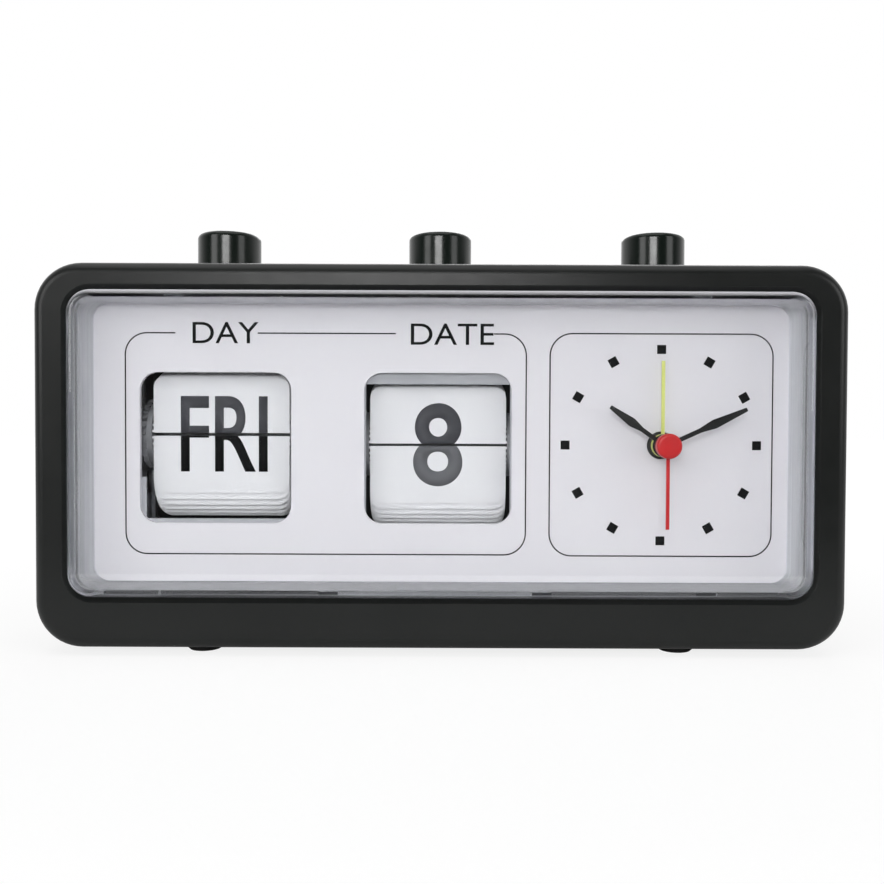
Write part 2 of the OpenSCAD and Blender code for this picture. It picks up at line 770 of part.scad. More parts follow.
module button_profile() {
    top = case_top + button_h;
    flat_r = button_r - button_edge;
    shoulder = top - button_dome;
    dome_r = (flat_r * flat_r + button_dome * button_dome) / (2 * button_dome);
    difference() {
        union() {
            translate([0, button_base]) square([button_flange_r, button_flange_t]);
            translate([0, button_base]) square([button_r, shoulder - button_edge - button_base]);
            translate([0, button_base]) square([flat_r, shoulder - button_base]);
            translate([flat_r, shoulder - button_edge]) circle(button_edge);
            intersection() {
                translate([0, top - dome_r]) circle(dome_r, $fn = 256);
                translate([0, shoulder - eps]) square([flat_r, button_dome + eps]);
            }
        }
        translate([0, button_base - eps])
            square([button_r - button_skirt, shoulder - button_base - 2 * button_skirt]);
        translate([-button_r, 0]) square([button_r, 2 * top]);
    }
}

module push_button(x) {
    translate([x, front_y + axis_d, 0]) rotate_extrude() button_profile();
}

module button_plug() {
    cylinder(r = button_r - button_skirt - press_gap, h = 4);
}

module unit_pawl(x, z) {
    tip = disc_r - 0.2 + tooth_h;
    nose_low = sqrt(tip * tip - pow(nose_v + nose_w, 2)) + slide_gap + button_travel;
    arm_z = button_base - arm_h;
    left = -ratchet_out + slide_gap / 3;
    translate([x, front_y + axis_d, 0]) {
        translate([button_shift, 0, button_base - eps]) button_plug();
        translate([left, -arm_half, arm_z]) cube([button_shift + arm_half - left, 2 * arm_half, arm_h]);
        translate([left, nose_v, arm_z]) cube([arm_t, -nose_v, arm_h]);
        translate([left, nose_v, z + nose_low]) cube([arm_t, nose_w, arm_z + eps - z - nose_low]);
    }
}

module coil_spring_form(x, z0, z1, r) {
    translate([x, front_y + axis_d, z0]) difference() {
        cylinder(r = r, h = z1 - z0);
        translate([0, 0, -eps]) cylinder(r = r - spring_wire, h = z1 - z0 + 2 * eps);
    }
}

module unit_spring(x, z) {
    coil_spring_form(x + button_shift, z + bar_top + sheet_t, button_base - arm_h, spring_r);
}

steel = [0.62, 0.63, 0.65];
plastic = [0.2, 0.2, 0.2];
paper = [0.92, 0.91, 0.93];
button_green = [0.13, 0.15, 0.14];

module day_frame() { color(steel) unit_frame(day_x, day_z); }
module day_axle() { color(steel) unit_axle(day_x, day_z); }
module day_drum() { color(plastic) unit_drum(day_x, day_z, day_leaves); }
module day_leaf_stack() { color(paper) unit_leaf_stack(day_x, day_z, day_leaves); }
module day_flip_leaf() { color(paper) unit_flip_leaf(day_x, day_z, day_leaves); }
module day_button() { color(button_green) push_button(button_xs[0]); }
module day_pawl() { color(plastic) unit_pawl(day_x, day_z); }
module day_spring() { color(steel) unit_spring(day_x, day_z); }
module day_click() { color(steel) unit_click(day_x, day_z); }
module date_frame() { color(steel) unit_frame(date_x, date_z); }
module date_axle() { color(steel) unit_axle(date_x, date_z); }
module date_drum() { color(plastic) unit_drum(date_x, date_z, date_leaves); }
module date_leaf_stack() { color(paper) unit_leaf_stack(date_x, date_z, date_leaves); }
module date_flip_leaf() { color(paper) unit_flip_leaf(date_x, date_z, date_leaves); }
module date_button() { color(button_green) push_button(button_xs[1]); }
module date_pawl() { color(plastic) unit_pawl(date_x, date_z); }
module date_spring() { color(steel) unit_spring(date_x, date_z); }
module date_click() { color(steel) unit_click(date_x, date_z); }

// Alarm on and off: the button's rod stops just above the switch when it is pressed
module alarm_button() {
    rod_low = clock_z + move_w / 2 + switch_h + slide_gap + button_travel;
    color(button_green) {
        push_button(button_xs[2]);
        translate([button_xs[2], front_y + axis_d, 0]) {
            translate([0, 0, button_base]) cylinder(r = button_r - button_skirt + eps, h = button_skirt);
            translate([0, 0, rod_low]) cylinder(r = spring_r / 2, h = button_base - rod_low + eps);
        }
    }
}

module alarm_spring() {
    color(steel) coil_spring_form(button_xs[2], clock_z + move_w / 2 + switch_h, button_base, spring_r);
}

module alarm_switch() {
    seat = spring_r + 1;
    color(plastic) translate([button_xs[2] - switch_half, front_y + axis_d - seat, clock_z + move_w / 2])
        cube([2 * switch_half, 2 * seat, switch_h]);
}

// Movement parts sit round the hands' axis: places are sideways and up from it
module mpin(at, d0, d1, r) {
    pin(clock_x + at[0], clock_z + at[1], d0, d1, r);
}

module mslab(d0, d1) {
    translate([clock_x, 0, clock_z]) slab(d0, d1) children();
}

// Gear in a layer, turned so that a tooth, or for the driven one a gap, faces its mate
module gear(at, i, teeth, pitch_r, mate_at, driven) {
    v = mate_at - at;
    phase = atan2(v[1], v[0]) + (driven ? 180 / teeth : 0);
    mslab(layer(i), layer(i) + gear_t) translate(at) rotate(phase) polygon(gear_points(teeth, pitch_r));
}

module arbor(at, d1, r) {
    mpin(at, dial_rear + shell_t - pivot_len + press_gap, d1, r);
}

centre_at = [0, 0];
brass = [0.75, 0.62, 0.3];
pivot_end = move_rear + pivot_len - press_gap;
bridge = layer_step + gear_t;

module movement_case() {
    cavity = move_w - 2 * shell_t;
    color([0.12, 0.12, 0.12]) difference() {
        union() {
            difference() {
                mslab(dial_rear, move_rear) rounded_rect(move_w, move_w, move_r);
                mslab(dial_rear + shell_t, move_rear + eps) rounded_rect(cavity, cavity, move_r - shell_t);
            }
            mpin(centre_at, neck_front, dial_rear + eps, neck_out);
            for (x = [coil_x0 - leg_w / 2, coil_x1 + leg_w / 2])
                mpin([x, (coil_z + rotor_at[1]) / 2], dial_rear + shell_t - eps, layer(4), 1.2);
            for (s = [-1, 1]) mslab(frame_d, frame_d + shell_t)
                translate([-s * ear_x - ear_w / 2, s > 0 ? move_w / 2 - eps : -ear_z - ear_w / 2])
                    square([ear_w, ear_z + ear_w / 2 - move_w / 2 + eps]);
        }
        mpin(centre_at, neck_front - eps, dial_rear + shell_t + eps, neck_in);
        for (at = [third_at, step_at, rotor_at])
            mpin(at, dial_rear + shell_t - pivot_len, dial_rear + shell_t + eps, arbor_r + run_fit);
        for (at = [minute_at, alarm_at])
            mpin(at, dial_rear + shell_t - pivot_len, dial_rear + shell_t + eps, set_arbor_r + run_fit);
        for (p = move_posts) pin(p[0], p[1], frame_d - eps, frame_d + shell_t + eps, screw_r + slide_gap);
    }
}

module movement_cover() {
    color([0.14, 0.14, 0.14]) difference() {
        mslab(move_rear, move_rear + shell_t) rounded_rect(move_w, move_w, move_r);
        for (at = [centre_at, third_at, step_at, rotor_at])
            mpin(at, move_rear - eps, move_rear + pivot_len, arbor_r + run_fit);
        for (at = [minute_at, alarm_at])
            mpin(at, move_rear - eps, move_rear + shell_t + eps, set_arbor_r + run_fit);
    }
}

module circuit_board() {
    color([0.1, 0.35, 0.15]) mslab(move_rear - gear_t, move_rear) translate(board_at)
        square([board_end - board_at[0], board_end - board_at[1]]);
}

module quartz_crystal() {
    color(steel) translate([clock_x + board_end - 2 * crystal_l - 2, front_y + move_rear - 2 * gear_t,
                            clock_z + board_end - 2 * board_gap])
        rotate([0, 90, 0]) cylinder(r = gear_t, h = crystal_l);
}

module drive_coil() {
    mid = layer(4) + gear_t / 2;
    color([0.7, 0.35, 0.15]) translate([clock_x + coil_x0, front_y + mid, clock_z + coil_z]) {
        translate([0, -gear_t / 2, -leg_w / 2]) cube([coil_x1 - coil_x0, gear_t, leg_w]);
        translate([1, 0, 0]) rotate([0, 90, 0]) cylinder(r = coil_r, h = coil_x1 - coil_x0 - 2);
    }
}

module stator() {
    bar = 1.2;
    color(steel) mslab(layer(4), layer(4) + gear_t) difference() {
        union() {
            translate(rotor_at) circle(stator_ring_r);
            translate([coil_x0 - leg_w, rotor_at[1] - bar]) square([coil_x1 - coil_x0 + 2 * leg_w, 2 * bar]);
            for (x = [coil_x0 - leg_w, coil_x1]) translate([x, coil_z - leg_w / 2])
                square([leg_w, rotor_at[1] - coil_z + leg_w / 2]);
        }
        translate(rotor_at) circle(stator_hole_r);
    }
}

module rotor() {
    color([0.3, 0.3, 0.32]) {
        arbor(rotor_at, pivot_end, arbor_r);
        mpin(rotor_at, layer(3), layer(5) + gear_t, magnet_r);
        gear(rotor_at, 6, rotor_teeth, gear_r(rotor_teeth, step_teeth, rotor_c), step_at, false);
    }
}

module step_wheel() {
    color([0.85, 0.85, 0.8]) {
        arbor(step_at, pivot_end, arbor_r);
        gear(step_at, 6, step_teeth, gear_r(step_teeth, rotor_teeth, rotor_c), rotor_at, true);
        gear(step_at, 5, step_pinion, gear_r(step_pinion, seconds_teeth, arbor_c), centre_at, false);
        mpin(step_at, layer(5), layer(6), gear_r(step_pinion, seconds_teeth, arbor_c) / 1.5);
    }
}

module seconds_wheel() {
    color([0.85, 0.85, 0.8]) {
        mpin(centre_at, hand_d(3) - hand_t, pivot_end, arbor_r);
        gear(centre_at, 5, seconds_teeth, gear_r(seconds_teeth, step_pinion, arbor_c), step_at, true);
        gear(centre_at, 4, seconds_pinion, gear_r(seconds_pinion, third_teeth, arbor_c), third_at, false);
        mpin(centre_at, layer(4), layer(4) + bridge, 1.4 * arbor_r);
    }
}

module third_wheel() {
    color([0.85, 0.85, 0.8]) {
        arbor(third_at, pivot_end, arbor_r);
        gear(third_at, 4, third_teeth, gear_r(third_teeth, seconds_pinion, arbor_c), centre_at, true);
        gear(third_at, 3, third_pinion, gear_r(third_pinion, centre_teeth, arbor_c), centre_at, false);
        mpin(third_at, layer(3), layer(3) + bridge, 1.4 * arbor_r);
    }
}

module centre_wheel() {
    color(brass) difference() {
        gear(centre_at, 3, centre_teeth, gear_r(centre_teeth, third_pinion, arbor_c), third_at, true);
        mpin(centre_at, layer(3) - eps, layer(3) + gear_t + eps, cannon_out + run_fit);
    }
}

module cannon_pinion() {
    color(brass) difference() {
        union() {
            gear(centre_at, 2, cannon_teeth, gear_r(cannon_teeth, minute_teeth, arbor_c), minute_at, false);
            mpin(centre_at, hand_d(2) - hand_t, layer(3) + gear_t + run_fit, cannon_out);
        }
        mpin(centre_at, hand_d(2) - hand_t - eps, layer(3) + bridge, cannon_in);
    }
}

module minute_wheel() {
    color([0.85, 0.85, 0.8]) {
        arbor(minute_at, set_arbor_end, set_arbor_r);
        gear(minute_at, 2, minute_teeth, gear_r(minute_teeth, cannon_teeth, arbor_c), centre_at, true);
        gear(minute_at, 1, minute_pinion, gear_r(minute_pinion, hour_teeth, arbor_c), centre_at, false);
        mpin(minute_at, layer(1), layer(1) + bridge, 1.5 * set_arbor_r);
    }
}

module hour_wheel() {
    color([0.85, 0.85, 0.8]) difference() {
        union() {
            gear(centre_at, 1, hour_teeth, gear_r(hour_teeth, minute_pinion, arbor_c), minute_at, true);
            mpin(centre_at, hand_d(1) - hand_t, layer(1) + gear_t, hour_out);
        }
        mpin(centre_at, hand_d(1) - hand_t - eps, layer(1) + gear_t + eps, hour_in);
    }
}

module alarm_wheel() {
    color([0.85, 0.85, 0.8]) difference() {
        union() {
            gear(centre_at, 0, alarm_teeth, gear_r(alarm_teeth, alarm_pinion, alarm_c), alarm_at, true);
            mpin(centre_at, hand_d(0) - hand_t, layer(0) + gear_t, alarm_out);
        }
        mpin(centre_at, hand_d(0) - hand_t - eps, layer(0) + gear_t + eps, alarm_in);
    }
}

module set_knob(at) {
    stem = move_rear + shell_t + slide_gap;
    difference() {
        union() {
            mpin(at, stem, case_d, knob_stem_r);
            difference() {
                mpin(at, case_d - knob_in, case_d + knob_out, knob_r);
                for (a = [0:360 / knob_flutes:359])
                    mpin(at + knob_r * [cos(a), sin(a)], case_d + 1, case_d + knob_out + eps, flute_r);
            }
        }
        mpin(at, stem - eps, set_arbor_end + slide_gap, set_arbor_r + press_gap);
    }
}

module time_set_knob() {
    color(plastic) set_knob(minute_at);
}

module alarm_set_knob() {
    color(plastic) {
        set_knob(alarm_at);
        arbor(alarm_at, set_arbor_end + slide_gap + eps, set_arbor_r);
        gear(alarm_at, 0, alarm_pinion, gear_r(alarm_pinion, alarm_teeth, alarm_c), centre_at, false);
    }
}

// Slim hand that swells past its middle, pointing to twelve
module slim_hand(length) {
    neck = 0.42 * length;
    widest = 0.6 * length;
    polygon([[hand_arm, 0], [hand_arm, neck], [hand_swell, widest], [hand_tip, length],
             [-hand_tip, length], [-hand_swell, widest], [-hand_arm, neck], [-hand_arm, 0]]);
}

module hand_at(i, angle) {
    mslab(hand_d(i) - hand_t, hand_d(i)) rotate(-angle) children();
}

module alarm_hand() {
    color([0.85, 0.88, 0.45]) hand_at(0, alarm_angle) difference() {
        union() {
            translate([-needle_w / 2, 0]) square([needle_w, alarm_len]);
            circle(hub_r);
        }
        circle(alarm_out + press_gap);
    }
}

module hour_hand() {
    color([0.05, 0.05, 0.05]) hand_at(1, hour_angle) difference() {
        union() {
            slim_hand(hour_len);
            circle(hub_r);
        }
        circle(hour_out + press_gap);
    }
}

module minute_hand() {
    color([0.05, 0.05, 0.05]) hand_at(2, minute_angle) difference() {
        union() {
            slim_hand(minute_len);
            circle(hub_r);
        }
        circle(cannon_out + press_gap);
    }
}

module second_hand() {
    color([0.8, 0.15, 0.15]) difference() {
        union() {
            hand_at(3, second_angle) translate([-needle_w / 2, 0]) square([needle_w, second_len]);
            turned(clock_x, clock_z) {
                translate([0, hand_d(3) - cap_h + cap_edge]) square([cap_r, cap_h - cap_edge]);
                translate([0, hand_d(3) - cap_h]) square([cap_r - cap_edge, cap_h]);
                translate([cap_r - cap_edge, hand_d(3) - cap_h + cap_edge]) circle(cap_edge);
            }
        }
        mpin(centre_at, hand_d(3) - hand_t, hand_d(3) + eps, arbor_r + press_gap);
    }
}

front_housing();
rear_cover();
lens();
dial_plate();
rubber_feet();
case_screws();
dial_screws();
frame_screws();
battery_door();
battery_cell();
battery_contacts();
battery_leads();
buzzer();
day_frame();
day_axle();
day_drum();
day_leaf_stack();
day_flip_leaf();
day_button();
day_pawl();
day_spring();
day_click();
date_frame();
date_axle();
date_drum();
date_leaf_stack();
date_flip_leaf();
date_button();
date_pawl();
date_spring();
date_click();
alarm_button();
alarm_spring();
alarm_switch();
movement_case();
movement_cover();
movement_screws();
circuit_board();
quartz_crystal();
drive_coil();
stator();
rotor();
step_wheel();
seconds_wheel();
third_wheel();
centre_wheel();
cannon_pinion();
minute_wheel();
hour_wheel();
alarm_wheel();
time_set_knob();
alarm_set_knob();
alarm_hand();
hour_hand();
minute_hand();
second_hand();
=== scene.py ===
import json
import math
import bpy
import bmesh
from mathutils import Matrix, Vector


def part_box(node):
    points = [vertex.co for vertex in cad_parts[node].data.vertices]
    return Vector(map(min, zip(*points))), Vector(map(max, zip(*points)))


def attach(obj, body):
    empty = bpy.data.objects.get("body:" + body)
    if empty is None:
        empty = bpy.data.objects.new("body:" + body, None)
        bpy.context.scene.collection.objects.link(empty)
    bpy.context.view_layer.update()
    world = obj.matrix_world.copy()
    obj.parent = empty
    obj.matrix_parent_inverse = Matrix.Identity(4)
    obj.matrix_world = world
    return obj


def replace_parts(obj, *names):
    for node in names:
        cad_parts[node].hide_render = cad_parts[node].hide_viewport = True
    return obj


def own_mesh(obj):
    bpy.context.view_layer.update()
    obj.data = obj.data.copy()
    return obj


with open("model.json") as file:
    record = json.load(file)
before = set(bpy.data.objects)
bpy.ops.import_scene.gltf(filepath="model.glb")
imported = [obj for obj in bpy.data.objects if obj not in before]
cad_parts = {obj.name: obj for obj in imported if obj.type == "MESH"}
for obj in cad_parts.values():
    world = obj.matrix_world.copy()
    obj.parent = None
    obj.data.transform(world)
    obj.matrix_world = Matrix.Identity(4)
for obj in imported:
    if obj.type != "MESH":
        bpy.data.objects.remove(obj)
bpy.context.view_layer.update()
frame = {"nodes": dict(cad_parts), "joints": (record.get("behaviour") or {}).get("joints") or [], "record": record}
nodes = frame["nodes"]
joints = {j["name"]: j for j in frame["joints"]}
scene = bpy.context.scene
scene.view_settings.view_transform = "Standard"
mm = 0.001


# camera at the photograph's place, for an 884 x 884 frame
cameraSettings = {"lens": 36.8, "sensor": 36, "clip": 0.01, "place": (0.3, -266.8, 62.4), "pitchDown": 1.3,
                  "roll": 0.22}


def addCamera(settings):
    data = bpy.data.cameras.new("photoCamera")
    data.lens = settings["lens"]
    data.sensor_width = settings["sensor"]
    data.clip_start = settings["clip"]
    camera = bpy.data.objects.new("photoCamera", data)
    scene.collection.objects.link(camera)
    place = Matrix.Translation(Vector(settings["place"]) * mm)
    pitch = Matrix.Rotation(math.radians(90 - settings["pitchDown"]), 4, "X")
    roll = Matrix.Rotation(math.radians(settings["roll"]), 4, "Z")
    camera.matrix_world = place @ pitch @ roll
    scene.camera = camera


addCamera(cameraSettings)
print("camera set")


# small helpers for node trees
def link(tree, output, target):
    tree.links.new(output, target)


def addNode(tree, kind, **values):
    node = tree.nodes.new(kind)
    for key, value in values.items():
        setattr(node, key, value)
    return node


def mathNode(tree, operation, first, second):
    node = addNode(tree, "ShaderNodeMath", operation=operation)
    for socket, value in zip(node.inputs, (first, second)):
        if isinstance(value, (int, float)):
            socket.default_value = value
        else:
            link(tree, value, socket)
    return node.outputs[0]


def ramp(tree, value, span, reach):
    # carries a value from one span over to another and holds it at the ends
    node = addNode(tree, "ShaderNodeMapRange")
    for label, number in zip(("From Min", "From Max", "To Min", "To Max"), (*span, *reach)):
        node.inputs[label].default_value = number
    link(tree, value, node.inputs["Value"])
    return node.outputs[0]


def mixShaders(tree, amount, first, second):
    mix = addNode(tree, "ShaderNodeMixShader")
    for socket, output in zip(mix.inputs, (amount, first, second)):
        link(tree, output, socket)
    return mix.outputs[0]


def linear(colour):
    # a colour as seen, 0 to 255, in the linear values that materials take
    return tuple(((c / 255 + 0.055) / 1.055) ** 2.4 if c > 10 else c / 255 / 12.92 for c in colour) + (1.0,)


# studio: white paper behind, a dim room in front, five soft lamps
studioSettings = {
    "backdrop": 1.0, "room": 0.06, "roomFade": (-0.35, 0.45), "ambient": 0.32,
    "lamps": [
        {"name": "topSoft", "place": (-0.05, -0.25, 0.85), "aim": (0, 0, 0.05), "size": (0.9, 0.6),
         "watts": 2.1},
        {"name": "frontSoft", "place": (-0.08, -0.75, 0.265), "aim": (0, 0, 0.06), "size": (0.32, 0.08),
         "watts": 1.8},
        {"name": "leftSoft", "place": (-0.75, -0.7, 0.34), "aim": (0, 0, 0.06), "size": (0.4, 0.5),
         "watts": 2.5},
        {"name": "rightSoft", "place": (0.8, -0.6, 0.32), "aim": (0, 0, 0.06), "size": (0.4, 0.5),
         "watts": 1.85},
        {"name": "rearSoft", "place": (0.1, 0.8, 0.6), "aim": (0, 0, 0.05), "size": (0.8, 0.5),
         "watts": 3.0},
    ],
    "floorHalf": 3.0, "floorFront": -0.16, "floorColour": (246, 246, 246), "floorRough": 0.9,
    "floorShade": 0.22, "floorFade": (0.14, 0.42), "floorWhite": 1.05,
}


def addWorld(settings):
    world = bpy.data.worlds.new("studioWorld")
    scene.world = world
    world.use_nodes = True
    tree = world.node_tree
    tree.nodes.clear()
    rays = addNode(tree, "ShaderNodeLightPath")
    seen = addNode(tree, "ShaderNodeBackground")
    seen.inputs["Color"].default_value = (1, 1, 1, 1)
    lit = addNode(tree, "ShaderNodeBackground")
    lit.inputs["Color"].default_value = (1, 1, 1, 1)
    lit.inputs["Strength"].default_value = settings["ambient"]
    # what glass and gloss see: paper towards +Y, the room towards -Y
    direction = addNode(tree, "ShaderNodeTexCoord")
    split = addNode(tree, "ShaderNodeSeparateXYZ")
    link(tree, direction.outputs["Generated"], split.inputs[0])
    fade = ramp(tree, split.outputs["Y"], settings["roomFade"], (settings["room"], settings["backdrop"]))
    bright = mathNode(tree, "MAXIMUM", fade, rays.outputs["Is Camera Ray"])
    link(tree, bright, seen.inputs["Strength"])
    pick = mathNode(tree, "MAXIMUM", rays.outputs["Is Camera Ray"], rays.outputs["Is Glossy Ray"])
    pick = mathNode(tree, "MAXIMUM", pick, rays.outputs["Is Transmission Ray"])
    out = addNode(tree, "ShaderNodeOutputWorld")
    link(tree, mixShaders(tree, pick, lit.outputs[0], seen.outputs[0]), out.inputs["Surface"])


def addLamps(settings):
    for lamp in settings["lamps"]:
        data = bpy.data.lights.new(lamp["name"], "AREA")
        data.shape = "RECTANGLE"
        data.size, data.size_y = lamp["size"]
        data.energy = lamp["watts"]
        light = bpy.data.objects.new(lamp["name"], data)
        scene.collection.objects.link(light)
        place = Vector(lamp["place"])
        aim = (Vector(lamp["aim"]) - place).to_track_quat("-Z", "Y")
        light.matrix_world = Matrix.Translation(place) @ aim.to_matrix().to_4x4()


def addFloor(settings):
    half = settings["floorHalf"]
    mesh = bpy.data.meshes.new("floorSheet")
    near = settings["floorFront"]
    corners = [(-half, near, 0), (half, near, 0), (half, half, 0), (-half, half, 0)]
    mesh.from_pydata(corners, [], [(0, 1, 2, 3)])
    floor = bpy.data.objects.new("floorSheet", mesh)
    scene.collection.objects.link(floor)
    paper = bpy.data.materials.new("floorPaper")
    paper.use_nodes = True
    tree = paper.node_tree
    shader = tree.nodes["Principled BSDF"]
    shader.inputs["Base Color"].default_value = linear(settings["floorColour"])
    shader.inputs["Roughness"].default_value = settings["floorRough"]
    shader.inputs["Specular IOR Level"].default_value = 0.0
    white = addNode(tree, "ShaderNodeEmission")
    white.inputs["Strength"].default_value = settings["floorWhite"]
    # the paper shows shade near the object and is plain white further out
    coords = addNode(tree, "ShaderNodeTexCoord")
    distance = addNode(tree, "ShaderNodeVectorMath", operation="LENGTH")
    link(tree, coords.outputs["Object"], distance.inputs[0])
    fade = ramp(tree, distance.outputs["Value"], settings["floorFade"], (1 - settings["floorShade"], 1.0))
    rays = addNode(tree, "ShaderNodeLightPath")
    amount = mathNode(tree, "MULTIPLY", rays.outputs["Is Camera Ray"], fade)
    mix = mixShaders(tree, amount, shader.outputs[0], white.outputs[0])
    link(tree, mix, tree.nodes["Material Output"].inputs["Surface"])
    mesh.materials.append(paper)


addWorld(studioSettings)
addLamps(studioSettings)
addFloor(studioSettings)
print("studio set")


# shared surface effects
def newGroup(name, inputs, outputs):
    tree = bpy.data.node_groups.new(name, "ShaderNodeTree")
    for label, value in inputs:
        socket = tree.interface.new_socket(label, in_out="INPUT", socket_type="NodeSocketFloat")
        socket.default_value = value
    for label in outputs:
        tree.interface.new_socket(label, in_out="OUTPUT", socket_type="NodeSocketFloat")
    return tree, addNode(tree, "NodeGroupInput"), addNode(tree, "NodeGroupOutput")


# noise detail, and how much finer the second clouds of a smudge are
grainDetail = {"Grain": 3.0, "Patch": 5.0}
smudgeFine = {"detail": 6, "times": 7.0}


def makeGrainGroup():
    # fine tooth of a moulded or painted skin, with broad patches of tone
    defaults = [("Grain", 2500), ("Patch", 45), ("Stretch", 1)]
    tree, given, result = newGroup("mouldedGrain", defaults, ["Grain", "Patch"])
    coords = addNode(tree, "ShaderNodeTexCoord")
    scale = addNode(tree, "ShaderNodeCombineXYZ")
    scale.inputs["Y"].default_value = 1
    scale.inputs["Z"].default_value = 1
    link(tree, given.outputs["Stretch"], scale.inputs["X"])
    place = addNode(tree, "ShaderNodeMapping")
    link(tree, coords.outputs["Object"], place.inputs["Vector"])
    link(tree, scale.outputs[0], place.inputs["Scale"])
    for label, detail in grainDetail.items():
        noise = addNode(tree, "ShaderNodeTexNoise")
        noise.inputs["Detail"].default_value = detail
        link(tree, place.outputs[0], noise.inputs["Vector"])
        link(tree, given.outputs[label], noise.inputs["Scale"])
        link(tree, noise.outputs["Fac"], result.inputs[label])
    return tree


def makeSmudgeGroup():
    # faint handling marks: broad soft clouds cut by finer ones
    tree, given, result = newGroup("handlingSmudge", [("Size", 30), ("Contrast", 2.2)], ["Mask"])
    coords = addNode(tree, "ShaderNodeTexCoord")
    broad = addNode(tree, "ShaderNodeTexNoise")
    fine = addNode(tree, "ShaderNodeTexNoise")
    fine.inputs["Detail"].default_value = smudgeFine["detail"]
    link(tree, coords.outputs["Object"], broad.inputs["Vector"])
    link(tree, coords.outputs["Object"], fine.inputs["Vector"])
    link(tree, given.outputs["Size"], broad.inputs["Scale"])
    finer = mathNode(tree, "MULTIPLY", given.outputs["Size"], smudgeFine["times"])
    link(tree, finer, fine.inputs["Scale"])
    both = mathNode(tree, "MULTIPLY", broad.outputs["Fac"], fine.outputs["Fac"])
    raised = mathNode(tree, "MULTIPLY", both, given.outputs["Contrast"])
    link(tree, mathNode(tree, "MINIMUM", raised, 1.0), result.inputs["Mask"])
    return tree


grainGroup = makeGrainGroup()
smudgeGroup = makeSmudgeGroup()

